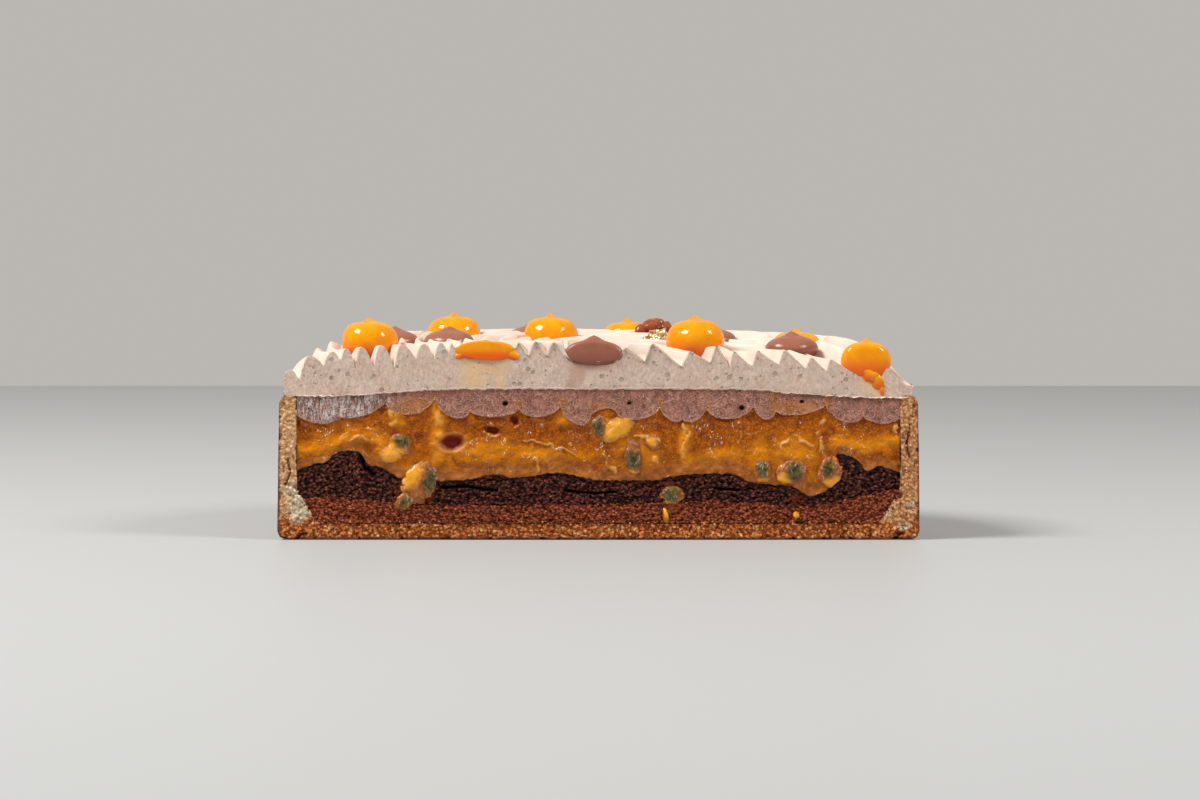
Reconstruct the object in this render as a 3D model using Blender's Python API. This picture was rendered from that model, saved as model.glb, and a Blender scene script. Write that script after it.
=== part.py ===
"""Half of a round chocolate, mango and passion fruit tart, cut straight through its middle.

Metres, +Z up. The cut face looks towards -Y and the base stands on z = 0. The origin is at the middle
of the rectangle that the half covers on the table, so the round tart's own axis is at (0, CUT_Y).
"""

import math

import bmesh
import bpy

MM = 0.001
GAP = 0.3 * MM  # between one piece and the next
MERGE = 0.01 * MM

# The pastry shell, lined into a plain ring.
SHELL_RADIUS = 77.5 * MM
SHELL_HEIGHT = 35.0 * MM
SHELL_LEAN = 0.2 * MM  # how much narrower it is at the rim
WALL_THICKNESS = 4.8 * MM
WALL_INSIDE = SHELL_RADIUS - WALL_THICKNESS
BASE_THICKNESS = 3.9 * MM
CORNER_WIDTH = 5.4 * MM  # the thick dough in the inside corner
CORNER_HEIGHT = 8.4 * MM
CORNER_HOLLOW = 1.6  # above 1 makes the corner's slope hollow
CORNER_SHARES = (1.0, 0.7, 0.4, 0.16, 0.0)
EDGE_ROUND = 0.9 * MM
INNER_EDGE_ROUND = 0.5 * MM
SHELL_STEPS = 28
CUT_Y = -SHELL_RADIUS / 2

# The baked layers. Heights are above the table.
LAYER_STEPS = 16
ALMOND_TOP = 8.9 * MM
ALMOND_SWELL = 0.4 * MM
BROWNIE_TOP = 14.7 * MM
BROWNIE_SWELL = 0.7 * MM
BROWNIE_EDGE_RISE = 2.6 * MM  # where it meets the wall
BROWNIE_EDGE_START = 52.0 * MM
BROWNIE_EDGE_END = 66.0 * MM
BROWNIE_RING_RISE = 3.2 * MM  # a raised ring near the wall
BROWNIE_RING_RADIUS = 60.5 * MM
BROWNIE_RING_WIDTH = 5.5 * MM

# The ganache, piped over the fruit as one spiral rope.
ROPE_PITCH = 10.4 * MM
ROPE_CUSP = 32.2 * MM
ROPE_DEPTH = 3.3 * MM
ROPE_PHASE = 0.39
ROPE_FADE_IN = 6.0 * MM
ROPE_LINES = 4
GANACHE_TOP = 36.2 * MM
GANACHE_FALL = 1.5 * MM  # from the middle to the wall

# The whipped cream, combed into a pinwheel of curved ridges.
CREAM_RADIUS = 75.7 * MM
CREAM_RISE = 12.4 * MM  # of the ridges' crests above the rim
CREAM_SHOULDER = 8.0  # how late the crests fall to the edge
CREAM_ROUNDING = 2.2
CREAM_EDGE = 1.3 * MM
CREAM_SAG = 2.7 * MM  # the right side lies lower
SAG_START = 33.0 * MM
SAG_END = 56.0 * MM
RIDGE_PITCH = 5.2 * MM
RIDGE_ARMS = 18
RIDGE_DEPTH = 5.0 * MM
RIDGE_SHARE = 0.62  # of the cream above the rim, at most
RIDGE_PHASE = 0.3
RIDGE_LINES = 3
RIDGE_FADE_IN = 11.0 * MM
CREAM_STEPS = 22

# The dots on top, in millimetres: x, depth behind the cut, radius and height of the widest level.
MANGO_DOTS = (
    (-55.5, 9.0, 6.9, 47.4),
    (-36.5, 40.5, 6.9, 47.6),
    (-11.8, 30.0, 6.9, 47.7),
    (7.4, 62.0, 6.4, 45.8),
    (23.6, 9.2, 7.2, 47.5),
    (64.6, 3.6, 6.0, 43.2),
    (-27.3, 0.6, 6.9, 43.9),
    (49.3, 30.5, 6.4, 44.5),
)
CHOCOLATE_DOTS = (
    (-50.6, 27.0, 6.2, 46.6),
    (-36.8, 21.5, 6.3, 46.8),
    (-17.2, 50.5, 6.2, 46.8),
    (-1.1, 1.8, 7.2, 44.6),
    (28.4, 30.5, 6.2, 46.8),
    (47.2, 14.6, 6.5, 45.6),
    (24.6, 51.5, 6.2, 46.6),
)
MANGO_FORM = {"rise": 0.78, "sink": 0.76, "peak": 0.12}  # as shares of the radius
CHOCOLATE_FORM = {"rise": 0.50, "sink": 0.36, "peak": 0.16}
PEAK_SHARPNESS = 9
DOT_SEGMENTS = 10
DOT_DEGREES = (-90, -50, -16, 16, 45, 70, 90)  # up the dot's side
NUT_PLACE = (14.4, 47.5, 47.6)  # x, depth behind the cut and height, in millimetres
NUT_SIZE = (4.4, 3.2, 3.0)  # half sizes
NUT_LUMPS = 0.1
CUTTER_OVERSHOOT = 5.0 * MM  # how far a pocket's cutter stands out of the cut

COLOURS = {
    "pastry": ((0.42, 0.22, 0.10), 0.8),
    "almond": ((0.16, 0.045, 0.022), 0.75),
    "brownie": ((0.05, 0.017, 0.012), 0.8),
    "fruit_gel": ((0.42, 0.12, 0.008), 0.12),
    "ganache": ((0.28, 0.13, 0.095), 0.45),
    "cream": ((0.62, 0.45, 0.36), 0.5),
    "mango_gel": ((0.92, 0.30, 0.008), 0.1),
    "chocolate_gel": ((0.33, 0.13, 0.085), 0.3),
    "candied_nut": ((0.14, 0.03, 0.012), 0.2),
}


def clear_scene():
    """Removes what the scene holds."""
    for thing in list(bpy.data.objects):
        bpy.data.objects.remove(thing)


def make_material(name):
    """One plain material of the part's colour and gloss."""
    colour, roughness = COLOURS[name]
    made = bpy.data.materials.get(name) or bpy.data.materials.new(name)
    made.use_nodes = True
    shader = made.node_tree.nodes["Principled BSDF"]
    shader.inputs["Base Color"].default_value = (*colour, 1.0)
    shader.inputs["Roughness"].default_value = roughness
    shader.inputs["Metallic"].default_value = 0.0
    return made


def add_object(name, bm, material):
    """Turns the bmesh's faces outwards and links it as one object."""
    bmesh.ops.recalc_face_normals(bm, faces=bm.faces)
    if bm.calc_volume(signed=True) < 0:
        bmesh.ops.reverse_faces(bm, faces=bm.faces)
    mesh = bpy.data.meshes.new(name)
    bm.to_mesh(mesh)
    bm.free()
    mesh.materials.append(make_material(material))
    made = bpy.data.objects.new(name, mesh)
    bpy.context.scene.collection.objects.link(made)
    return made


def smoothstep(value, low, high):
    """0 at low, 1 at high, with a soft start and end."""
    share = min(1.0, max(0.0, (value - low) / (high - low)))
    return share * share * (3 - 2 * share)


def spaced(start, end, count):
    """count even steps from start to end, as count + 1 values."""
    return [start + (end - start) * index / count for index in range(count + 1)]


def unevenness(x, y, size, turn):
    """A gentle hand-made wave between -1 and 1, about size metres from one crest to the next."""
    wave = 2 * math.pi / size
    across = x * math.cos(turn) + y * math.sin(turn)
    along = y * math.cos(turn) - x * math.sin(turn)
    return 0.5 * math.sin(wave * across + turn) + 0.5 * math.sin(0.73 * wave * along - 2 * turn)


def half_turned(name, outline, steps, warp, material):
    """A solid turned half round the tart's axis, with its flat side on the cut.

    outline runs from the axis, round the outside and back to the axis, as (station, level) pairs.
    warp(station, angle, level) gives the radius and height of that point in the finished piece.
    """
    bm = bmesh.new()
    verts = [bm.verts.new((station, 0, level)) for station, level in outline]
    edges = [bm.edges.new(pair) for pair in zip(verts, verts[1:])]
    bmesh.ops.spin(bm, geom=verts + edges, cent=(0, 0, 0), axis=(0, 0, 1), angle=math.pi, steps=steps)
    for vert in bm.verts:
        angle = math.atan2(abs(vert.co.y), vert.co.x)
        radius, height = warp(math.hypot(vert.co.x, vert.co.y), angle, vert.co.z)
        vert.co = (radius * math.cos(angle), CUT_Y + radius * math.sin(angle), height)
    bmesh.ops.remove_doubles(bm, verts=bm.verts, dist=MERGE)
    bmesh.ops.delete(bm, geom=[edge for edge in bm.edges if edge.is_wire], context="EDGES")
    # Both faces of a gap are split along the same diagonals, so that they can't cross.
    bmesh.ops.triangulate(bm, faces=bm.faces, quad_method="SHORT_EDGE")
    bmesh.ops.edgeloop_fill(bm, edges=[edge for edge in bm.edges if edge.is_boundary])
    return add_object(name, bm, material)


def inner_radius(height):
    """Radius of the shell's inside at a height, with the thick dough in its corner."""
    into_corner = 1 - min(1.0, max(0.0, (height - BASE_THICKNESS) / CORNER_HEIGHT))
    return WALL_INSIDE - CORNER_WIDTH * into_corner**CORNER_HOLLOW


def almond_bottom(x, y):
    """Underside of the almond layer, on the shell's base."""
    return BASE_THICKNESS + GAP


def almond_top(x, y):
    """Top of the baked almond layer."""
    return ALMOND_TOP + ALMOND_SWELL * unevenness(x, y, 37 * MM, 0.9)


def brownie_bottom(x, y):
    """Underside of the brownie, on the almond layer."""
    return almond_top(x, y) + GAP


def brownie_top(x, y):
    """Top of the brownie: low in the middle, with a raised ring near the wall."""
    radius = math.hypot(x, y)
    edge = BROWNIE_EDGE_RISE * smoothstep(radius, BROWNIE_EDGE_START, BROWNIE_EDGE_END)
    off_ring = (radius - BROWNIE_RING_RADIUS) / BROWNIE_RING_WIDTH
    ring = BROWNIE_RING_RISE * math.exp(-off_ring * off_ring)
    return BROWNIE_TOP + edge + ring + BROWNIE_SWELL * unevenness(x, y, 31 * MM, 2.1)


def rope_line(station, angle):
    """Radius of one of the lines that run along the ganache rope; a station is a line's number in mm."""
    turns = station / MM / ROPE_LINES - 1 + ROPE_PHASE + angle / (2 * math.pi)
    return min(WALL_INSIDE - GAP, max(0.0, ROPE_PITCH * turns))


def ganache_bottom(radius, angle):
    """Underside of the ganache: round rope bellies with a sharp cusp between one turn and the next."""
    turns = radius / ROPE_PITCH - angle / (2 * math.pi) - ROPE_PHASE
    depth = ROPE_DEPTH * smoothstep(radius, 0.0, ROPE_FADE_IN)
    return ROPE_CUSP - depth * abs(math.sin(math.pi * turns))


def ganache_top(radius):
    """Top of the ganache, slightly domed."""
    return GANACHE_TOP - GANACHE_FALL * (radius / SHELL_RADIUS) ** 2


def cream_crest(x, y):
    """Height of the ridges' crests: flat on top, with a round shoulder and a lower right side."""
    radius = min(math.hypot(x, y), CREAM_RADIUS)
    fall = max(0.0, 1 - (radius / CREAM_RADIUS) ** CREAM_SHOULDER) ** (1 / CREAM_ROUNDING)
    sag = CREAM_SAG * smoothstep(x, SAG_START, SAG_END)
    return SHELL_HEIGHT + CREAM_EDGE + (CREAM_RISE - CREAM_EDGE - sag) * fall


def cream_top(radius, angle):
    """Top of the whipped cream, with round-topped ridges and sharp valleys."""
    crest = cream_crest(radius * math.cos(angle), radius * math.sin(angle))
    count = radius / RIDGE_PITCH + RIDGE_ARMS * angle / (2 * math.pi) + RIDGE_PHASE
    depth = min(RIDGE_DEPTH, RIDGE_SHARE * (crest - SHELL_HEIGHT))
    depth *= smoothstep(radius, 0.0, RIDGE_FADE_IN)
    return crest - depth * (1 - abs(math.sin(math.pi * count)))


def make_shell():
    """The pastry case: a flat base, an upright wall with rounded edges and a thick inside corner."""

    def unchanged(station, angle, level):
        return station, level

    outline = [(0, 0), (SHELL_RADIUS - EDGE_ROUND, 0), (SHELL_RADIUS, EDGE_ROUND)]
    outline += [(SHELL_RADIUS - SHELL_LEAN, SHELL_HEIGHT - EDGE_ROUND)]
    outline += [(SHELL_RADIUS - SHELL_LEAN - EDGE_ROUND, SHELL_HEIGHT)]
    outline += [(WALL_INSIDE + INNER_EDGE_ROUND, SHELL_HEIGHT)]
    outline += [(WALL_INSIDE, SHELL_HEIGHT - EDGE_ROUND)]
    for share in CORNER_SHARES:
        height = BASE_THICKNESS + CORNER_HEIGHT * share
        outline.append((inner_radius(height), height))
    outline.append((0, BASE_THICKNESS))
    half_turned("tart_shell", outline, SHELL_STEPS, unchanged, "pastry")


def make_layer(name, bottom, top, levels, stations, material):
    """A filling between two uneven surfaces, which are functions of x and y, out to the shell.

    levels are the shares of its height where its outer side has an edge of its own.
    """

    def warp(station, angle, level):
        x, y = station * math.cos(angle), station * math.sin(angle)
        height = bottom(x, y) + level * (top(x, y) - bottom(x, y))
        return min(station, inner_radius(height) - GAP), height

    outline = [(station, 0.0) for station in stations]
    outline += [(stations[-1], level) for level in levels]
    outline += [(station, 1.0) for station in reversed(stations)]
    half_turned(name, outline, LAYER_STEPS, warp, material)


def brownie_stations():
    """Stations that are even in the middle and closer together at the raised ring."""
    inside = spaced(0.0, BROWNIE_EDGE_START, 4)
    return inside + spaced(BROWNIE_EDGE_START, WALL_INSIDE, 5)[1:]


def make_baked_layers():
    """The almond layer on the base and the brownie on that."""
    almond_stations = spaced(0.0, WALL_INSIDE, 6)
    make_layer("almond_layer", almond_bottom, almond_top, (), almond_stations, "almond")
    make_layer("brownie_layer", brownie_bottom, brownie_top, (0.35,), brownie_stations(), "brownie")


def make_wet_layers():
    """The fruit filling, which follows the rope of ganache above it, and the ganache."""
    count = int(ROPE_LINES * (WALL_INSIDE / ROPE_PITCH + 1)) + 2
    lines = [index * MM for index in range(count + 1)]

    def fruit(station, angle, level):
        if level == 0:
            radius = min(station, WALL_INSIDE - GAP)
            return radius, brownie_top(radius * math.cos(angle), radius * math.sin(angle)) + GAP
        radius = rope_line(station, angle)
        return radius, ganache_bottom(radius, angle) - GAP

    def ganache(station, angle, level):
        if level == 0:
            radius = rope_line(station, angle)
            return radius, ganache_bottom(radius, angle)
        radius = min(station, WALL_INSIDE - GAP)
        return radius, ganache_top(radius)

    outline = [(station, 0.0) for station in brownie_stations()]
    outline += [(line, 1.0) for line in reversed(lines)]
    half_turned("fruit_layer", outline, LAYER_STEPS, fruit, "fruit_gel")
    outline = [(line, 0.0) for line in lines]
    outline += [(station, 1.0) for station in reversed(spaced(0.0, WALL_INSIDE, 3))]
    half_turned("ganache_layer", outline, LAYER_STEPS, ganache, "ganache")


def make_cream():
    """The whipped cream, from the ganache and over the shell's rim, with its pinwheel of ridges."""
    count = int(RIDGE_LINES * (CREAM_RADIUS / RIDGE_PITCH + RIDGE_ARMS / 2)) + 4
    rests_on_shell = WALL_INSIDE - 2 * MM

    def warp(station, angle, level):
        if level == 0:
            support = ganache_top(station) if station < rests_on_shell else SHELL_HEIGHT
            return station, support + GAP
        turns = station / MM / RIDGE_LINES - RIDGE_PHASE - RIDGE_ARMS * angle / (2 * math.pi)
        radius = min(CREAM_RADIUS, max(0.0, RIDGE_PITCH * turns))
        return radius, cream_top(radius, angle)

    outline = [(station, 0.0) for station in spaced(0.0, rests_on_shell, 3) + [CREAM_RADIUS]]
    outline += [(index * MM, 1.0) for index in range(count, -1, -1)]
    return half_turned("whipped_cream", outline, CREAM_STEPS, warp, "cream")


def make_dot(name, place, form, material, grow=0.0):
    """A piped dot with a small peak, sunk between the ridges and cut off flat where it meets the cut.

    grow makes it that much larger all round, and lets it stand out of the cut, as a cutter.
    """
    x, depth, radius, height = (value * MM for value in place)
    bm = bmesh.new()
    verts = []
    for degrees in DOT_DEGREES:
        turn = math.radians(degrees)
        stretch = form["rise"] if degrees > 0 else form["sink"]
        up = (stretch * radius + grow) * math.sin(turn)
        up += form["peak"] * radius * max(0.0, math.sin(turn)) ** PEAK_SHARPNESS
        verts.append(bm.verts.new(((radius + grow) * math.cos(turn), 0, up)))
    edges = [bm.edges.new(pair) for pair in zip(verts, verts[1:])]
    bmesh.ops.spin(
        bm, geom=verts + edges, cent=(0, 0, 0), axis=(0, 0, 1), angle=2 * math.pi,
        steps=DOT_SEGMENTS, use_merge=True,
    )
    bmesh.ops.remove_doubles(bm, verts=bm.verts, dist=MERGE)
    bmesh.ops.translate(bm, verts=bm.verts, vec=(x, CUT_Y + depth, height))
    front = CUT_Y if grow == 0 else CUT_Y - CUTTER_OVERSHOOT
    bmesh.ops.bisect_plane(
        bm, geom=[*bm.verts, *bm.edges, *bm.faces], plane_co=(0, front, 0), plane_no=(0, -1, 0),
        clear_outer=True,
    )
    bmesh.ops.holes_fill(bm, edges=[edge for edge in bm.edges if edge.is_boundary])
    return add_object(name, bm, material)


def make_nut(name, grow=0.0):
    """The candied nut: a rounded, lumpy lozenge. grow makes it that much larger all round."""
    x, depth, height = (value * MM for value in NUT_PLACE)
    bm = bmesh.new()
    bmesh.ops.create_icosphere(bm, subdivisions=2, radius=1.0)
    for vert in bm.verts:
        lump = 1 + NUT_LUMPS * math.sin(5 * vert.co.x + 1) * math.cos(4 * vert.co.y - 2 * vert.co.z)
        half = [size * MM * lump + grow for size in NUT_SIZE]
        vert.co = [part * side for part, side in zip(vert.co, half)]
    bmesh.ops.translate(bm, verts=bm.verts, vec=(x, CUT_Y + depth, height))
    return add_object(name, bm, "candied_nut")


def press_into(cream, cutters):
    """Presses a pocket into the cream with each cutter."""
    for number, cutter in enumerate(cutters, start=1):
        cutter.hide_render = True
        cutter.display_type = "WIRE"
        pocket = cream.modifiers.new(f"pocket_{number}", "BOOLEAN")
        pocket.operation = "DIFFERENCE"
        pocket.solver = "EXACT"
        pocket.object = cutter


def make_toppings(cream):
    """The mango and chocolate dots and the nut, each with its pocket in the cream."""
    cutters = []
    for kind, places, form, material in (
        ("mango_dot", MANGO_DOTS, MANGO_FORM, "mango_gel"),
        ("chocolate_dot", CHOCOLATE_DOTS, CHOCOLATE_FORM, "chocolate_gel"),
    ):
        for number, place in enumerate(places, start=1):
            make_dot(f"{kind}_{number}", place, form, material)
            cutters.append(make_dot(f"{kind}_{number}_pocket", place, form, material, grow=GAP))
    make_nut("candied_nut")
    cutters.append(make_nut("candied_nut_pocket", grow=GAP))
    press_into(cream, cutters)


def main():
    """Builds the half tart from the base up."""
    clear_scene()
    make_shell()
    make_baked_layers()
    make_wet_layers()
    make_toppings(make_cream())


main()
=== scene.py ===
"""The looks of a cut half tart: pastry, almond, brownie, fruit jelly, ganache, whipped cream and dots.

Sizes on the cut are in millimetres: x along the cut from the tart's axis, z up from the table, and
depth from the cut into the tart. Every place is worked out from the frame's own boxes.
"""

import logging
import math
import random
from bisect import bisect_right
from dataclasses import dataclass
from enum import Enum
from typing import Callable, Sequence

import bmesh
import bpy
from mathutils import Matrix, Vector, noise


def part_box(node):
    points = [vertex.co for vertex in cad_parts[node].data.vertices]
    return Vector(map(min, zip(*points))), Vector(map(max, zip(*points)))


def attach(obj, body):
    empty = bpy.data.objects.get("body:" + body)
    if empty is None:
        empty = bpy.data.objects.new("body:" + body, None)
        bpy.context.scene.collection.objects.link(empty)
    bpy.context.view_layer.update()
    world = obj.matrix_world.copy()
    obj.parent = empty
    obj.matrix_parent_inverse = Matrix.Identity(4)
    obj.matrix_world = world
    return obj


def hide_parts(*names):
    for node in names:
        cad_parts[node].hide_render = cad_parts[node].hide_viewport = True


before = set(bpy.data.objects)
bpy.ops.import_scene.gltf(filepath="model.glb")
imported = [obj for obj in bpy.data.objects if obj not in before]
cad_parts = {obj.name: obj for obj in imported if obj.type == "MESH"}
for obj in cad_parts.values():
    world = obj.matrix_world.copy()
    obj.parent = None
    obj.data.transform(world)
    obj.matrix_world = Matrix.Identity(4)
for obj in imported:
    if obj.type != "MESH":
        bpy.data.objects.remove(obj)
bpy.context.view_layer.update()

MM = 0.001
ROOT = "root"
WELD = 0.01 * MM

Colour = tuple[float, float, float]
Line = tuple[tuple[float, float], ...]
Relief = Callable[[float, float], float]

log = logging.getLogger("tart")


class Slot(Enum):
    """The record's material slots."""

    PASTRY = "pastry"
    ALMOND = "almond"
    BROWNIE = "brownie"
    FRUIT = "fruit_gel"
    GANACHE = "ganache"
    CREAM = "cream"
    MANGO = "mango_gel"
    CHOCOLATE = "chocolate_gel"
    NUT = "candied_nut"
    SEED = "seed"
    GOLD = "gold_leaf"


def paint(red: int, green: int, blue: int) -> Colour:
    """Linear colour of an 8-bit paint-chart colour.

    Args:
        red: Red, 0 to 255.
        green: Green, 0 to 255.
        blue: Blue, 0 to 255.

    Returns:
        The colour as the shader wants it.
    """
    shares = (red / 255, green / 255, blue / 255)
    return tuple(s / 12.92 if s < 0.04045 else ((s + 0.055) / 1.055) ** 2.4 for s in shares)


def mix(first: float, second: float, share: float) -> float:
    """The value that lies share of the way from first to second."""
    return first + (second - first) * share


def clamp(value: float, low: float = 0.0, high: float = 1.0) -> float:
    """The value, kept between low and high."""
    return min(high, max(low, value))


def smoothstep(value: float, low: float, high: float) -> float:
    """0 at low and 1 at high, with soft ends; low may be the larger."""
    share = clamp((value - low) / (high - low))
    return share * share * (3 - 2 * share)


def grain(x: float, y: float, z: float, size: float, octaves: int = 1) -> float:
    """Smooth noise between about -1 and 1 whose lumps are about size across.

    Args:
        x: Place along X.
        y: Place along Y.
        z: Place along Z.
        size: Size of the lumps, in the same units.
        octaves: How many finer layers are added.

    Returns:
        The noise at that place.
    """
    place = Vector((x / size, y / size, z / size))
    if octaves == 1:
        return noise.noise(place)
    return noise.fractal(place, 1.0, 2.0, octaves)


@dataclass(frozen=True)
class Curve:
    """A smooth line through a few chosen points, read as a height at a place along it."""

    points: Line
    tear: float = 0.12

    def __call__(self, x: float) -> float:
        """Height at x, by a curve with each point's mean slope.

        Args:
            x: Place along the line.

        Returns:
            The height there.
        """
        points = self.points
        if x <= points[0][0]:
            return points[0][1]
        if x >= points[-1][0]:
            return points[-1][1]
        index = bisect_right(points, (x, math.inf)) - 1
        before, start = points[max(0, index - 1)], points[index]
        end, after = points[index + 1], points[min(len(points) - 1, index + 2)]
        span = end[0] - start[0]
        share = (x - start[0]) / span
        slope_in = (end[1] - before[1]) / (end[0] - before[0]) * span
        slope_out = (after[1] - start[1]) / (after[0] - start[0]) * span
        square, cube = share * share, share**3
        return (
            (2 * cube - 3 * square + 1) * start[1] + (cube - 2 * square + share) * slope_in
            + (3 * square - 2 * cube) * end[1] + (cube - square) * slope_out
        )


@dataclass(frozen=True)
class Steps:
    """Straight runs between a few chosen points, carried on at a fixed slope past both ends."""

    points: Line
    slope: float

    def __call__(self, x: float) -> float:
        """Value at x."""
        points = self.points
        if x <= points[0][0]:
            return points[0][1] + (x - points[0][0]) * self.slope
        if x >= points[-1][0]:
            return points[-1][1] + (x - points[-1][0]) * self.slope
        index = bisect_right(points, (x, math.inf)) - 1
        start, end = points[index], points[index + 1]
        return mix(start[1], end[1], (x - start[0]) / (end[0] - start[0]))


@dataclass(frozen=True)
class Spot:
    """A soft-edged oval on the cut face."""

    x: float
    z: float
    width: float
    height: float
    turn: float = 0.0
    soft: float = 0.5

    def weight(self, x: float, z: float) -> float:
        """1 inside the oval and 0 outside it, with a soft edge between."""
        angle = math.radians(self.turn)
        across, up = x - self.x, z - self.z
        along = (across * math.cos(angle) + up * math.sin(angle)) / (self.width / 2)
        aside = (up * math.cos(angle) - across * math.sin(angle)) / (self.height / 2)
        if abs(along) > 1.0 + self.soft or abs(aside) > 1.0 + self.soft:
            return 0.0
        return smoothstep(math.hypot(along, aside), 1.0 + self.soft, 1.0 - self.soft)


@dataclass(frozen=True)
class Stroke:
    """A soft-edged line on the cut face."""

    points: Line
    width: float
    soft: float = 0.6

    def weight(self, x: float, z: float) -> float:
        """1 on the line and 0 beside it, with a soft edge between."""
        nearest = math.inf
        for start, end in zip(self.points, self.points[1:]):
            run, rise = end[0] - start[0], end[1] - start[1]
            share = clamp(((x - start[0]) * run + (z - start[1]) * rise) / (run * run + rise * rise))
            nearest = min(nearest, math.hypot(x - start[0] - share * run, z - start[1] - share * rise))
        edge = self.width / 2
        return smoothstep(nearest, edge * (1 + self.soft), edge * (1 - self.soft))


def covered(marks: Sequence["Spot | Stroke"], x: float, z: float) -> float:
    """How strongly any of the marks covers a place."""
    return max((mark.weight(x, z) for mark in marks), default=0.0)


@dataclass(frozen=True)
class Tart:
    """The frame's driving sizes, in millimetres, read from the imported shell."""

    axis: float
    cut: float
    radius: float
    height: float
    wall: float = 4.8
    base: float = 3.9
    corner_width: float = 5.4
    corner_height: float = 8.4

    @classmethod
    def from_frame(cls) -> "Tart":
        """Reads the shell's box."""
        low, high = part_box("tart_shell")
        half = (high.x - low.x) / 2
        return cls((low.x + half) / MM, low.y / MM, half / MM, high.z / MM)

    @property
    def inside(self) -> float:
        """Radius of the wall's inner side."""
        return self.radius - self.wall

    def inner(self, z: float) -> float:
        """Radius of the shell's inside at a height, with the thick dough in its corner."""
        into_corner = 1 - clamp((z - self.base) / self.corner_height)
        return self.inside - self.corner_width * into_corner**1.6

    def at(self, x: float, z: float, depth: float = 0.0) -> Vector:
        """A place given on the cut, as a point of the frame.

        Args:
            x: Distance along the cut from the axis.
            z: Height above the table.
            depth: Distance from the cut into the tart.

        Returns:
            The point, in metres.
        """
        return Vector(((self.axis + x) * MM, (self.cut + depth) * MM, z * MM))

    def place(self, point: Vector) -> tuple[float, float, float]:
        """x, z and depth of a point of the frame."""
        return point.x / MM - self.axis, point.z / MM, point.y / MM - self.cut


TART = Tart.from_frame()


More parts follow.
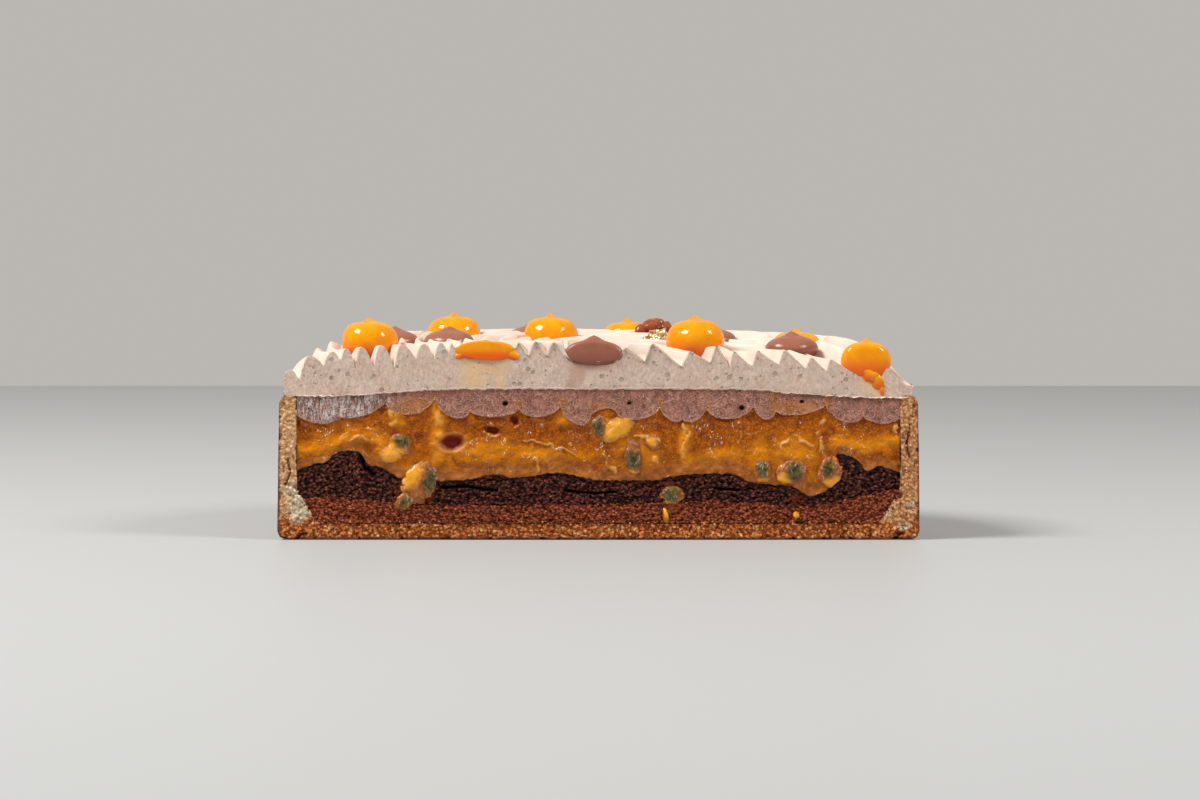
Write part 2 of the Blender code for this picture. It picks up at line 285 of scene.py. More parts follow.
class Recipe:
    """A material's node tree, with short calls for the nodes that the finishes share."""

    def __init__(self, name: str, roughness: float) -> None:
        """Starts a plain material.

        Args:
            name: The material's name.
            roughness: The shader's roughness.
        """
        self.material = bpy.data.materials.new(name)
        self.material.use_nodes = True
        self.nodes = self.material.node_tree.nodes
        self.links = self.material.node_tree.links
        self.shader = self.nodes["Principled BSDF"]
        self.shader.inputs["Roughness"].default_value = roughness

    def set(self, **values: object) -> "Recipe":
        """Sets the shader's own sockets; underscores stand for spaces."""
        for key, value in values.items():
            self.shader.inputs[key.replace("_", " ")].default_value = value
        return self

    def add(self, kind: str, inputs: dict[str, object], **settings: object) -> bpy.types.Node:
        """A node with its settings made and its inputs set or linked.

        Args:
            kind: The node's type.
            inputs: Its inputs by name, as values or as other nodes' outputs.
            **settings: The node's own properties.

        Returns:
            The new node.
        """
        node = self.nodes.new(kind)
        for key, value in settings.items():
            setattr(node, key, value)
        for key, value in inputs.items():
            socket = node.inputs[key]
            if isinstance(value, bpy.types.NodeSocket):
                self.links.new(value, socket)
            else:
                socket.default_value = value
        return node

    def space(self, stretch: Colour = (1.0, 1.0, 1.0)) -> bpy.types.NodeSocket:
        """Object coordinates, centred on the tart's axis and stretched."""
        coordinates = self.add("ShaderNodeTexCoord", {})
        centre = tuple(-part * side for part, side in zip(TART.at(0, 0), stretch))
        mapping = self.add(
            "ShaderNodeMapping",
            {"Vector": coordinates.outputs["Object"], "Location": centre, "Scale": stretch},
        )
        return mapping.outputs["Vector"]

    def noise(
        self, size: float, detail: float = 2.0, rough: float = 0.5, warp: float = 0.0,
        stretch: Colour = (1.0, 1.0, 1.0),
    ) -> bpy.types.NodeSocket:
        """Noise whose lumps are about size millimetres across.

        Args:
            size: Size of the lumps, in millimetres.
            detail: How much finer noise is added.
            rough: How strong the finer noise is.
            warp: How much the noise is twisted.
            stretch: Scale along each axis; above 1 squeezes the lumps.

        Returns:
            The noise, 0 to 1.
        """
        node = self.add(
            "ShaderNodeTexNoise",
            {"Vector": self.space(stretch), "Scale": 1 / (size * MM), "Detail": detail,
             "Roughness": rough, "Distortion": warp},
        )
        return node.outputs["Fac"]

    def cells(self, size: float, stretch: Colour = (1.0, 1.0, 1.0)) -> bpy.types.NodeSocket:
        """Distance to the middle of cells about size millimetres across."""
        node = self.add(
            "ShaderNodeTexVoronoi",
            {"Vector": self.space(stretch), "Scale": 1 / (size * MM)},
        )
        return node.outputs["Distance"]

    def net(self, size: float, wander: float = 0.5) -> bpy.types.NodeSocket:
        """Distance to a net of wandering lines whose meshes are about size millimetres across."""
        bend = self.add(
            "ShaderNodeTexNoise", {"Vector": self.space(), "Scale": 1 / (size * MM), "Detail": 2.0}
        )
        push = self.add(
            "ShaderNodeVectorMath", {"Scale": wander * size * MM, 0: bend.outputs["Color"]},
            operation="SCALE"
        )
        place = self.add(
            "ShaderNodeVectorMath", {0: self.space(), 1: push.outputs["Vector"]}, operation="ADD"
        )
        node = self.add(
            "ShaderNodeTexVoronoi", {"Vector": place.outputs["Vector"], "Scale": 1 / (size * MM)},
            feature="DISTANCE_TO_EDGE",
        )
        return node.outputs["Distance"]

    def mask(self, name: str) -> bpy.types.NodeSocket:
        """A share painted on the mesh."""
        return self.add("ShaderNodeAttribute", {}, attribute_name=name).outputs["Fac"]

    def ramp(self, share: bpy.types.NodeSocket, low: float, high: float) -> bpy.types.NodeSocket:
        """0 where share is at low, 1 where it is at high."""
        node = self.add(
            "ShaderNodeMapRange", {"Value": share, "From Min": low, "From Max": high}, clamp=True
        )
        return node.outputs["Result"]

    def times(self, first: object, second: object) -> bpy.types.NodeSocket:
        """The product of two values."""
        node = self.add("ShaderNodeMath", {}, operation="MULTIPLY")
        for socket, value in zip(node.inputs, (first, second)):
            if isinstance(value, bpy.types.NodeSocket):
                self.links.new(value, socket)
            else:
                socket.default_value = value
        return node.outputs[0]

    def plus(self, first: bpy.types.NodeSocket, second: bpy.types.NodeSocket) -> bpy.types.NodeSocket:
        """The sum of two values."""
        node = self.add("ShaderNodeMath", {}, operation="ADD")
        self.links.new(first, node.inputs[0])
        self.links.new(second, node.inputs[1])
        return node.outputs[0]

    def blend(self, share: bpy.types.NodeSocket, first: object, second: object) -> bpy.types.NodeSocket:
        """The colour that lies share of the way from first to second.

        Args:
            share: How much of the second colour shows.
            first: A colour, or another node's colour.
            second: A colour, or another node's colour.

        Returns:
            The mixed colour.
        """
        node = self.add("ShaderNodeMix", {}, data_type="RGBA")
        self.links.new(share, node.inputs["Factor"])
        for socket, value in zip((node.inputs[6], node.inputs[7]), (first, second)):
            if isinstance(value, bpy.types.NodeSocket):
                self.links.new(value, socket)
            else:
                socket.default_value = (*value, 1.0)
        return node.outputs[2]

    def colour(self, socket: bpy.types.NodeSocket) -> "Recipe":
        """Gives the shader its colour."""
        self.links.new(socket, self.shader.inputs["Base Color"])
        return self

    def shine(self, share: bpy.types.NodeSocket, wet: float, dry: float) -> "Recipe":
        """Roughness wet where share is 1 and dry where it is 0."""
        node = self.add("ShaderNodeMapRange", {"Value": share, "To Min": dry, "To Max": wet})
        self.links.new(node.outputs["Result"], self.shader.inputs["Roughness"])
        return self

    def bumps(self, *layers: tuple[bpy.types.NodeSocket, float]) -> bpy.types.Material:
        """Adds bump from each (height, depth in millimetres) and gives the finished material."""
        normal = None
        for height, depth in layers:
            node = self.add("ShaderNodeBump", {"Height": height, "Distance": depth * MM, "Strength": 1.0})
            if normal is not None:
                self.links.new(normal, node.inputs["Normal"])
            normal = node.outputs["Normal"]
        if normal is not None:
            self.links.new(normal, self.shader.inputs["Normal"])
        return self.material


@dataclass(frozen=True)
class PastryFinish:
    """Baked shortcrust: tan crumb on the cut with painted shade in its pits, a dark skin outside and raw
    pale dough in the corner.
    """

    crumb: Colour = paint(250, 206, 156)
    crumb_pit_shade: Colour = paint(214, 156, 104)
    toasted: Colour = paint(244, 150, 78)
    toasted_pit_shade: Colour = paint(156, 72, 22)
    speck: Colour = paint(255, 214, 146)
    raw: Colour = paint(250, 236, 212)
    raw_pit_shade: Colour = paint(216, 196, 164)
    skin: Colour = paint(150, 88, 62)
    skin_dark: Colour = paint(104, 48, 32)

    def make(self) -> bpy.types.Material:
        """Builds the material.

        Returns:
            The finished material.
        """
        recipe = Recipe("baked_pastry", 0.75)
        lumps = recipe.plus(recipe.cells(0.8), recipe.times(recipe.noise(0.6, 3.0, 0.8, 0.5), -0.8))
        # Painted shade: the darker tones fill the pits between the crumbs, where the bump below sinks the
        # surface.
        crumbs = recipe.ramp(lumps, 0.18, -0.08)
        crumb = recipe.blend(crumbs, self.crumb_pit_shade, self.crumb)
        base = recipe.blend(crumbs, self.toasted_pit_shade, self.toasted)
        specks = recipe.ramp(recipe.cells(1.4), 0.34, 0.16)
        base = recipe.blend(recipe.times(specks, 0.8), base, self.speck)
        inside = recipe.blend(recipe.mask("toast"), crumb, base)
        raw = recipe.blend(crumbs, self.raw_pit_shade, self.raw)
        inside = recipe.blend(recipe.mask("raw"), inside, raw)
        blotches = recipe.ramp(recipe.noise(7.0, 4.0, 0.65, 0.4), 0.34, 0.68)
        skin = recipe.blend(blotches, self.skin_dark, self.skin)
        pores = recipe.ramp(recipe.cells(2.1), 0.30, 0.10)
        skin = recipe.blend(recipe.times(pores, 0.55), skin, self.skin_dark)
        recipe.colour(recipe.blend(recipe.mask("cut"), skin, inside))
        recipe.set(Specular_IOR_Level=0.25)
        return recipe.bumps(
            (recipe.times(lumps, -1.0), 0.4), (recipe.noise(0.35, 3.0, 0.75), 0.2),
            (recipe.noise(2.4, 3.0, 0.6), 0.3)
        )


@dataclass(frozen=True)
class CrumbFinish:
    """A baked crumb with painted shade in its pits and painted highlights on its lumps, darker where
    juice has seeped in, with painted shade in cracks, and wet where juice has run in.
    """

    name: str
    # The light colour is the painted highlight; the dark colour is the crumb's own dark and the painted
    # shade in its pits and cracks.
    light: Colour
    middle: Colour
    dark: Colour
    wet: Colour
    grain: float = 0.8

    def make(self) -> bpy.types.Material:
        """Builds the material.

        Returns:
            The finished material.
        """
        recipe = Recipe(self.name, 0.7)
        flat = (1.0, 1.0, 1.35)
        lumps = recipe.cells(self.grain, flat)
        uneven = recipe.noise(self.grain * 0.7, 3.0, 0.8, 0.5, flat)
        lumpy = recipe.plus(lumps, recipe.times(uneven, -0.8))
        # Painted shade: the dark colour fills the pits between the lumps, where the bump below sinks the
        # surface.
        shade = recipe.blend(recipe.ramp(lumpy, 0.20, -0.06), self.dark, self.middle)
        # Painted highlights: the light colour is laid as glints on the lumps' tops.
        painted_crumb_glints = recipe.times(recipe.ramp(lumps, 0.34, 0.12), recipe.ramp(uneven, 0.47, 0.64))
        shade = recipe.blend(painted_crumb_glints, shade, self.light)
        patches = recipe.ramp(recipe.noise(5.0, 3.0, 0.6, 0.6, flat), 0.55, 0.75)
        shade = recipe.blend(recipe.times(patches, 0.5), shade, self.dark)
        # Darker where juice has seeped in; the same mask carries painted shade in the brownie's cracks.
        shade = recipe.blend(recipe.mask("soak_and_crack_shade"), shade, self.dark)
        shade = recipe.blend(recipe.mask("wet"), shade, self.wet)
        recipe.colour(shade).shine(recipe.mask("wet"), 0.2, 0.55)
        recipe.set(Specular_IOR_Level=0.15)
        return recipe.bumps((recipe.times(lumpy, -1.0), 0.7), (recipe.noise(0.3, 2.0, 0.7, 0.4), 0.2))


@dataclass(frozen=True)
class JellyFinish:
    """Wet amber fruit jelly, milky near the crumb, bright where pulp is close to the surface, with
    painted glints and painted shade in its holes.
    """

    amber: Colour = paint(186, 96, 0)
    deep: Colour = paint(132, 54, 0)
    grit: Colour = paint(238, 146, 14)
    glow: Colour = paint(226, 138, 6)
    milky: Colour = paint(184, 112, 48)
    milky_dark: Colour = paint(146, 80, 28)
    hollow: Colour = paint(112, 18, 0)
    pale: Colour = paint(236, 174, 92)
    glint_white: Colour = paint(255, 244, 226)

    def make(self) -> bpy.types.Material:
        """Builds the material.

        Returns:
            The finished material.
        """
        recipe = Recipe("fruit_jelly", 0.13)
        clouds = recipe.ramp(recipe.noise(3.4, 4.0, 0.65, 0.8), 0.36, 0.62)
        body = recipe.blend(clouds, self.deep, self.amber)
        grains = recipe.noise(0.42, 2.0, 0.7)
        body = recipe.blend(recipe.times(recipe.ramp(grains, 0.52, 0.66), 0.5), body, self.grit)
        body = recipe.blend(recipe.times(recipe.ramp(grains, 0.46, 0.34), 0.45), body, self.deep)
        body = recipe.blend(recipe.mask("glow"), body, self.glow)
        body = recipe.blend(recipe.mask("milk"), body, recipe.blend(clouds, self.milky_dark, self.milky))
        body = recipe.blend(recipe.mask("pale"), body, self.pale)
        # Painted shade: the holes are filled with a dark red.
        body = recipe.blend(recipe.mask("hollow"), body, self.hollow)
        # Painted glints: white flecks, grouped in the glint areas, stand in for highlights on the wet
        # surface.
        flecks = recipe.ramp(recipe.noise(0.55, 1.0, 0.5, 1.2, (1.0, 1.0, 0.6)), 0.63, 0.69)
        groups = recipe.ramp(recipe.noise(2.6, 2.0, 0.6), 0.52, 0.60)
        painted_glints = recipe.times(recipe.times(flecks, groups), recipe.mask("glint_area"))
        recipe.colour(recipe.blend(painted_glints, body, self.glint_white))
        recipe.set(
            Specular_IOR_Level=0.2, Subsurface_Weight=0.2, Subsurface_Radius=(2.4, 1.0, 0.1),
            Subsurface_Scale=0.2 * MM,
        )
        beads = recipe.ramp(recipe.cells(2.7), 0.2, 0.0)
        return recipe.bumps(
            (recipe.noise(0.5, 2.0, 0.6), 0.10), (recipe.noise(1.7, 3.0, 0.55, 0.8), 0.45), (beads, 0.25)
        )


@dataclass(frozen=True)
class GanacheFinish:
    """Satin milk chocolate ganache, streaked by the knife and filmed with jelly, with painted highlights
    on its wrinkles and painted shade in its holes.
    """

    body: Colour = paint(194, 122, 98)
    shade: Colour = paint(118, 54, 38)
    streak: Colour = paint(228, 206, 198)
    film: Colour = paint(196, 122, 54)
    # The pale edge colour is the thin rim over the jelly and the painted highlight on the wrinkles.
    edge: Colour = paint(224, 158, 128)
    ganache_hole_shade: Colour = paint(30, 8, 6)

    def make(self) -> bpy.types.Material:
        """Builds the material.

        Returns:
            The finished material.
        """
        recipe = Recipe("milk_ganache", 0.36)
        clouds = recipe.ramp(recipe.noise(1.2, 4.0, 0.7, 0.3, (1.0, 1.0, 0.7)), 0.38, 0.62)
        body = recipe.blend(clouds, self.shade, self.body)
        zones = recipe.ramp(recipe.noise(5.0, 2.0, 0.6), 0.36, 0.52)
        wrinkles = recipe.times(recipe.ramp(recipe.net(1.3), 0.13, 0.02), zones)
        # Painted highlights: the pale edge colour runs along the raised wrinkles as glints.
        body = recipe.blend(wrinkles, body, self.edge)
        body = recipe.blend(
            recipe.times(recipe.ramp(recipe.noise(0.3, 2.0, 0.8), 0.5, 0.7), 0.3), body, self.edge
        )
        body = recipe.blend(
            recipe.times(recipe.ramp(recipe.noise(0.4, 2.0, 0.8), 0.5, 0.3), 0.5), body, self.shade
        )
        drawn = recipe.ramp(recipe.noise(0.75, 2.0, 0.7, 0.6, (1.0, 1.0, 0.22)), 0.38, 0.54)
        drawn = recipe.times(drawn, recipe.mask("streak"))
        body = recipe.blend(drawn, body, self.streak)
        body = recipe.blend(recipe.mask("film"), body, self.film)
        body = recipe.blend(recipe.mask("rim"), body, self.edge)
        # Painted shade: the small holes are filled with near black.
        body = recipe.blend(recipe.mask("hollow"), body, self.ganache_hole_shade)
        recipe.colour(body).shine(recipe.mask("film"), 0.12, 0.36)
        recipe.set(Subsurface_Weight=0.05, Subsurface_Radius=(1.0, 0.6, 0.4), Subsurface_Scale=0.15 * MM)
        return recipe.bumps((wrinkles, 0.5), (drawn, 0.6), (recipe.noise(0.45, 3.0, 0.7), 0.4))


@dataclass(frozen=True)
class CreamFinish:
    """Whipped cream: pale and smooth outside; greyer on the cut, partly as painted shade of the cut face,
    with fine pores that hold painted shade.
    """

    outside: Colour = paint(243, 224, 208)
    outside_shade: Colour = paint(236, 208, 188)
    cut: Colour = paint(214, 186, 168)
    cut_shade: Colour = paint(136, 96, 74)
    pore_shade: Colour = paint(64, 22, 10)
    juice: Colour = paint(220, 164, 66)
    cocoa: Colour = paint(150, 66, 38)

    def make(self) -> bpy.types.Material:
        """Builds the material.

        Returns:
            The finished material.
        """
        recipe = Recipe("whipped_cream", 0.5)
        clouds = recipe.ramp(recipe.noise(0.7, 4.0, 0.8, 0.3, (1.0, 1.0, 0.6)), 0.34, 0.62)
        cut = recipe.blend(clouds, self.cut_shade, self.cut)
        cut = recipe.blend(recipe.mask("juice"), cut, self.juice)
        cut = recipe.blend(recipe.mask("cocoa"), cut, self.cocoa)
        # Painted shade: the pores are filled with a dark brown, over the pits that the bump below sinks.
        pores = recipe.plus(
            recipe.ramp(recipe.cells(3.2), 0.18, 0.14), recipe.ramp(recipe.cells(1.9), 0.15, 0.11)
        )
        cut = recipe.blend(pores, cut, self.pore_shade)
        outside = recipe.blend(
            recipe.ramp(recipe.noise(6.0, 2.0), 0.3, 0.7), self.outside_shade, self.outside
        )
        # The cut is darker than the outside partly as painted shade: the cut face gets less light than
        # the top.
        recipe.colour(recipe.blend(recipe.mask("cut"), outside, cut))
        recipe.shine(recipe.mask("juice"), 0.3, 0.5)
        recipe.set(
            Subsurface_Weight=0.12, Subsurface_Radius=(1.0, 0.7, 0.5), Subsurface_Scale=0.35 * MM,
            Specular_IOR_Level=0.3,
        )
        rough = recipe.times(recipe.noise(0.5, 3.0, 0.65, 0.0, (1.0, 1.0, 0.5)), recipe.mask("cut"))
        pits = recipe.times(recipe.times(pores, recipe.mask("cut")), -1.0)
        return recipe.bumps((rough, 0.5), (pits, 0.6), (recipe.noise(0.7, 2.0, 0.5), 0.03))


@dataclass(frozen=True)
class GlossFinish:
    """A smooth, glossy gel, deeper in colour near its foot."""

    name: str
    top: Colour
    foot: Colour
    roughness: float
    scatter: float

    def make(self) -> bpy.types.Material:
        """Builds the material.

        Returns:
            The finished material.
        """
        recipe = Recipe(self.name, self.roughness)
        clouds = recipe.ramp(recipe.noise(3.0, 2.0, 0.5, 0.4), 0.3, 0.7)
        body = recipe.blend(recipe.times(clouds, 0.35), self.top, self.foot)
        body = recipe.blend(recipe.mask("foot"), body, self.foot)
        recipe.colour(body)
        recipe.set(
            Subsurface_Weight=self.scatter, Subsurface_Radius=(2.0, 0.7, 0.05), Subsurface_Scale=0.8 * MM,
            Specular_IOR_Level=0.4,
        )
        return recipe.bumps((recipe.noise(1.4, 2.0, 0.5), 0.05), (recipe.noise(0.4, 1.0, 0.5), 0.008))


@dataclass(frozen=True)
class SacFinish:
    """Clear amber gel over a dark green seed and yellow pulp."""

    amber: Colour = paint(190, 104, 10)
    deep: Colour = paint(128, 62, 4)
    yolk: Colour = paint(250, 168, 14)
    seed: Colour = paint(112, 98, 28)
    seed_dark: Colour = paint(46, 38, 6)
    thread: Colour = paint(236, 214, 170)

    def make(self) -> bpy.types.Material:
        """Builds the material.

        Returns:
            The finished material.
        """
        recipe = Recipe("seed_sac", 0.07)
        clouds = recipe.ramp(recipe.noise(1.8, 4.0, 0.65, 0.8), 0.36, 0.62)
        body = recipe.blend(clouds, self.deep, self.amber)
        body = recipe.blend(recipe.mask("yolk"), body, self.yolk)
        mottled = recipe.ramp(recipe.noise(1.3, 3.0, 0.6, 0.6), 0.40, 0.66)
        body = recipe.blend(recipe.mask("seed"), body, recipe.blend(mottled, self.seed_dark, self.seed))
        threads = recipe.ramp(recipe.noise(0.8, 2.0, 0.6, 2.0, (1.0, 1.0, 0.4)), 0.60, 0.70)
        recipe.colour(recipe.blend(recipe.times(threads, 0.5), body, self.thread))
        recipe.set(
            Specular_IOR_Level=0.6, Subsurface_Weight=0.15, Subsurface_Radius=(2.0, 1.0, 0.1),
            Subsurface_Scale=0.5 * MM,
        )
        return recipe.bumps((recipe.noise(0.9, 3.0, 0.6, 0.6), 0.35),)


@dataclass(frozen=True)
class LeafFinish:
    """Crumpled gold leaf, with near-white patches painted as reflections."""

    gold: Colour = paint(236, 196, 120)
    bright: Colour = paint(250, 240, 220)

    def make(self) -> bpy.types.Material:
        """Builds the material.

        Returns:
            The finished material.
        """
        recipe = Recipe("gold_leaf", 0.28)
        # Painted reflections: near-white patches by noise stand in for light off the crumples.
        recipe.colour(
            recipe.blend(recipe.ramp(recipe.noise(0.8, 3.0), 0.35, 0.65), self.gold, self.bright)
        )
        recipe.set(Metallic=0.7)
        return recipe.bumps((recipe.noise(0.5, 3.0), 0.15))


@dataclass(frozen=True)
class StageFinish:
    """A plain pale surface of the stage."""

    name: str
    colour: Colour
    roughness: float

    def make(self) -> bpy.types.Material:
        """A plain material."""
        recipe = Recipe(self.name, self.roughness)
        recipe.set(Base_Color=(*self.colour, 1.0), Specular_IOR_Level=0.3)
        return recipe.material


def finish_piece(
    name: str, bm: bmesh.types.BMesh, material: bpy.types.Material,
    nodes: Sequence[str] = (), smooth: bool = True,
) -> bpy.types.Object:
    """Links a bmesh as a finished piece that rides on the tart.

    Args:
        name: The piece's name.
        bm: Its mesh, which is freed.
        material: Its finish.
        nodes: The frame's nodes it stands for.
        smooth: Whether it is shaded smooth.

    Returns:
        The new object.
    """
    bmesh.ops.recalc_face_normals(bm, faces=bm.faces)
    if bm.calc_volume(signed=True) < 0:
        bmesh.ops.reverse_faces(bm, faces=bm.faces)
    for face in bm.faces:
        face.smooth = smooth and len(face.verts) < 5
    mesh = bpy.data.meshes.new(name)
    bm.to_mesh(mesh)
    bm.free()
    mesh.materials.append(material)
    piece = bpy.data.objects.new(name, mesh)
    bpy.context.scene.collection.objects.link(piece)
    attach(piece, ROOT)
    if nodes:
        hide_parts(*nodes)
    log.info("%s: %d faces", name, len(mesh.polygons))
    return piece


def boundary(bm: bmesh.types.BMesh) -> list[bmesh.types.BMEdge]:
    """The edges with a face on one side only."""
    return [edge for edge in bm.edges if edge.is_boundary]


Painter = Callable[[float, float], dict[str, float]]


@dataclass
class Layer:
    """A filling that fills the shell from one surface to the next and shows at the cut.

    Its cut face is a fine grid with relief; behind it the layer runs back to the shell's round wall.
    """

    name: str
    node: str
    slot: Slot
    bottom: Callable[[float], float]
    top: Callable[[float], float]
    relief: Relief
    painter: Painter
    material: bpy.types.Material
    half_width: float = TART.inside
    columns: int = 620
    rows: int = 40

    def build(self) -> bpy.types.Object:
        """Makes the layer.

        Returns:
            The finished piece.
        """
        bm = bmesh.new()
        bmesh.ops.create_grid(bm, x_segments=self.columns, y_segments=self.rows, size=0.5)
        layers: dict[str, object] = {}
        for key in self.painter(0.0, 10.0):
            layers[key] = bm.verts.layers.float.new(key)
        for vert in bm.verts:
            along = 2 * vert.co.x * self.half_width
            low = self.bottom(along) + self.ragged(along, self.bottom)
            high = self.top(along) + self.ragged(along, self.top)
            z = mix(low, high, vert.co.y + 0.5)
            x = along * min(1.0, TART.inner(z) / TART.inside)
            for key, value in self.painter(x, z).items():
                vert[layers[key]] = value
            vert.co = TART.at(x, z, self.relief(x, z))
        rows = self._extrude_back(bm)
        bmesh.ops.bridge_loops(bm, edges=rows)
        bmesh.ops.holes_fill(bm, edges=boundary(bm))
        return finish_piece(self.name, bm, self.material, (self.node,))

    @staticmethod
    def ragged(x: float, border: Callable[[float], float]) -> float:
        """Unevenness of a border, the same for the layers on both sides of it."""
        tear = getattr(border, "tear", 0.12)
        return tear * grain(x, border(0.0), 0.0, 1.6, 3) + 0.5 * tear * grain(x, 5.0, 0.0, 0.7)

    def _extrude_back(self, bm: bmesh.types.BMesh) -> list[bmesh.types.BMEdge]:
        """Carries the face's edge back to the round wall.

        Args:
            bm: The mesh, which holds the face only.

        Returns:
            The upper and the lower row of edges on the wall.
        """
        made = bmesh.ops.extrude_edge_only(bm, edges=boundary(bm))["geom"]
        verts = [item for item in made if isinstance(item, bmesh.types.BMVert)]
        for vert in verts:
            x, z, _ = TART.place(vert.co)
            reach = min(TART.inner(z), self.half_width)
            vert.co = TART.at(x, z, math.sqrt(max(0.0, reach * reach - x * x)) + 0.4)
        back = [edge for edge in boundary(bm)]
        return [edge for edge in back if abs(edge.verts[0].co.x - edge.verts[1].co.x) > 0.08 * MM]


@dataclass(frozen=True)
class Path:
    """Straight runs through a few points, read at a share of their whole length."""

    points: Line

    def __call__(self, share: float) -> tuple[float, float]:
        """The point that lies share of the way along."""
        lengths = [math.dist(start, end) for start, end in zip(self.points, self.points[1:])]
        left = clamp(share) * sum(lengths)
        for start, end, length in zip(self.points, self.points[1:], lengths):
            if left <= length:
                along = left / length
                return mix(start[0], end[0], along), mix(start[1], end[1], along)
            left -= length
        return self.points[-1]


@dataclass
class PastryCase:
    """The round shell of shortcrust: a base, a wall and thick dough where they meet."""

    material: bpy.types.Material
    outer: Path = Path(((0, 0.2), (60, 0.2), (74.6, 0.1), (76.8, 0.5), (77.45, 2.0), (77.3, 14),
                        (77.0, 30), (76.9, 33.2), (76.3, 34.5), (75.2, 34.9)))
    inner: Path = Path(((0, 3.9), (50, 3.9), (67.3, 3.9), (68.2, 4.9), (69.6, 7.0), (71.2, 9.6),
                        (72.6, 12.3), (72.9, 20), (72.7, 30), (72.5, 33.4), (73.0, 34.5), (73.9, 34.9)))
    columns: int = 150
    rows: int = 6
    turns: int = 110
    cracks: tuple[Stroke, ...] = (
        Stroke(((-72.9, 0.2), (-71.9, 1.4), (-70.6, 1.5)), 0.7),
        Stroke(((71.6, 0.2), (72.2, 1.3), (73.3, 1.6)), 0.7),
        Stroke(((-75.6, 13.4), (-74.4, 16.0), (-74.9, 19.5)), 0.5),
        Stroke(((68.1, 9.4), (70.2, 10.4), (72.8, 10.8)), 1.0),
        Stroke(((75.0, 20.0), (74.2, 23.0), (74.9, 26.0)), 0.45),
    )
    raw_dough: tuple[Spot, ...] = (
        Spot(-72.0, 8.3, 4.6, 8.6, -18, 0.35), Spot(-74.2, 12.0, 3.2, 4.5, 10, 0.5),
        Spot(73.6, 3.3, 3.4, 1.9, 10, 0.5), Spot(69.6, 6.9, 2.2, 2.4, 40, 0.5),
        Spot(71.4, 12.9, 1.9, 2.4, 60, 0.5), Spot(75.1, 8.2, 1.8, 2.2, 0, 0.6),
    )

    def section(self, share: float, through: float) -> tuple[float, float]:
        """Radius and height in the section.

        Args:
            share: Along the section, from the axis out and up to the rim.
            through: From the outer skin to the inside.

        Returns:
            The point, in millimetres.
        """
        skin, inside = self.outer(share), self.inner(share)
        return mix(skin[0], inside[0], through), mix(skin[1], inside[1], through)

    def relief(self, x: float, z: float) -> float:
        """Depth of the crumbly cut face."""
        rough = 0.30 * grain(x, z, 3.0, 1.5, 3) + 0.22 * grain(x, z, 9.0, 0.6, 2)
        pits = smoothstep(grain(x, z, 17.0, 1.1), 0.30, 0.50) * 0.5
        return 0.35 + rough + pits + 1.5 * covered(self.cracks, x, z)

    def build(self) -> bpy.types.Object:
        """Makes the shell.

        Returns:
            The finished piece.
        """
        bm = bmesh.new()
        around = 2 * self.columns + self.rows
        skin = bmesh.ops.create_grid(bm, x_segments=around, y_segments=self.turns, size=0.5)["verts"]
        for vert in skin:
            index = round((vert.co.x + 0.5) * around)
            turn = round((vert.co.y + 0.5) * self.turns)
            radius, z = self._on_outline(index)
            angle = math.pi * turn / self.turns
            if turn in (1, self.turns - 1):
                angle = 0.005 if turn == 1 else math.pi - 0.005
            wave = 0.12 * grain(radius * math.cos(angle), radius * math.sin(angle), z, 9.0)
            radius = max(0.0, radius + wave) if index and index != around else 0.0
            vert.co = TART.at(radius * math.cos(angle), z, radius * math.sin(angle))
        face = bmesh.ops.create_grid(
            bm, x_segments=2 * self.columns, y_segments=self.rows, size=0.5
        )["verts"]
        for vert in face:
            share = 2 * vert.co.x
            radius, z = self.section(abs(share), vert.co.y + 0.5)
            wave = 0.12 * grain(math.copysign(radius, share), 0.0, z, 9.0)
            radius = radius + wave if abs(share) > 1e-6 else 0.0
            vert.co = TART.at(math.copysign(radius, share), z)
        cut_edges = {edge for vert in face for edge in vert.link_edges}
        bmesh.ops.subdivide_edges(bm, edges=list(cut_edges), cuts=2, use_grid_fill=True)
        bmesh.ops.remove_doubles(bm, verts=bm.verts, dist=WELD)
        bmesh.ops.dissolve_degenerate(bm, edges=bm.edges, dist=WELD)
        self._paint(bm)
        return finish_piece("pastry_case", bm, self.material, ("tart_shell",))

    def _on_outline(self, index: int) -> tuple[float, float]:
        """Point number index of the section's outline, from the axis out, over the rim and back."""
        if index <= self.columns:
            return self.section(index / self.columns, 0.0)
        if index <= self.columns + self.rows:
            return self.section(1.0, (index - self.columns) / self.rows)
        return self.section((2 * self.columns + self.rows - index) / self.columns, 1.0)

    def _paint(self, bm: bmesh.types.BMesh) -> None:
        """Roughens the cut face and marks where the dough is cut, toasted or raw."""
        cut = bm.verts.layers.float.new("cut")
        toast = bm.verts.layers.float.new("toast")
        raw = bm.verts.layers.float.new("raw")
        for vert in bm.verts:
            x, z, depth = TART.place(vert.co)
            if depth > 0.02:
                continue
            edge = min(TART.radius - abs(x), z) + 0.25 * grain(x, z, 5.0, 1.4)
            vert[cut] = smoothstep(edge, 0.35, 0.95)
            base = smoothstep(z + 1.4 * grain(x, z, 1.0, 3.0), 7.0, 3.4)
            vert[toast] = max(base, 0.5 * smoothstep(x, 60.0, 70.0))
            patches = covered(
                self.raw_dough, x + 0.7 * grain(x, z, 2.0, 1.3), z + 0.7 * grain(x, z, 8.0, 1.3)
            )
            vert[raw] = patches * smoothstep(grain(x, z, 4.0, 0.8), -0.45, 0.0)
            vert.co = TART.at(x, z, self.relief(x, z))


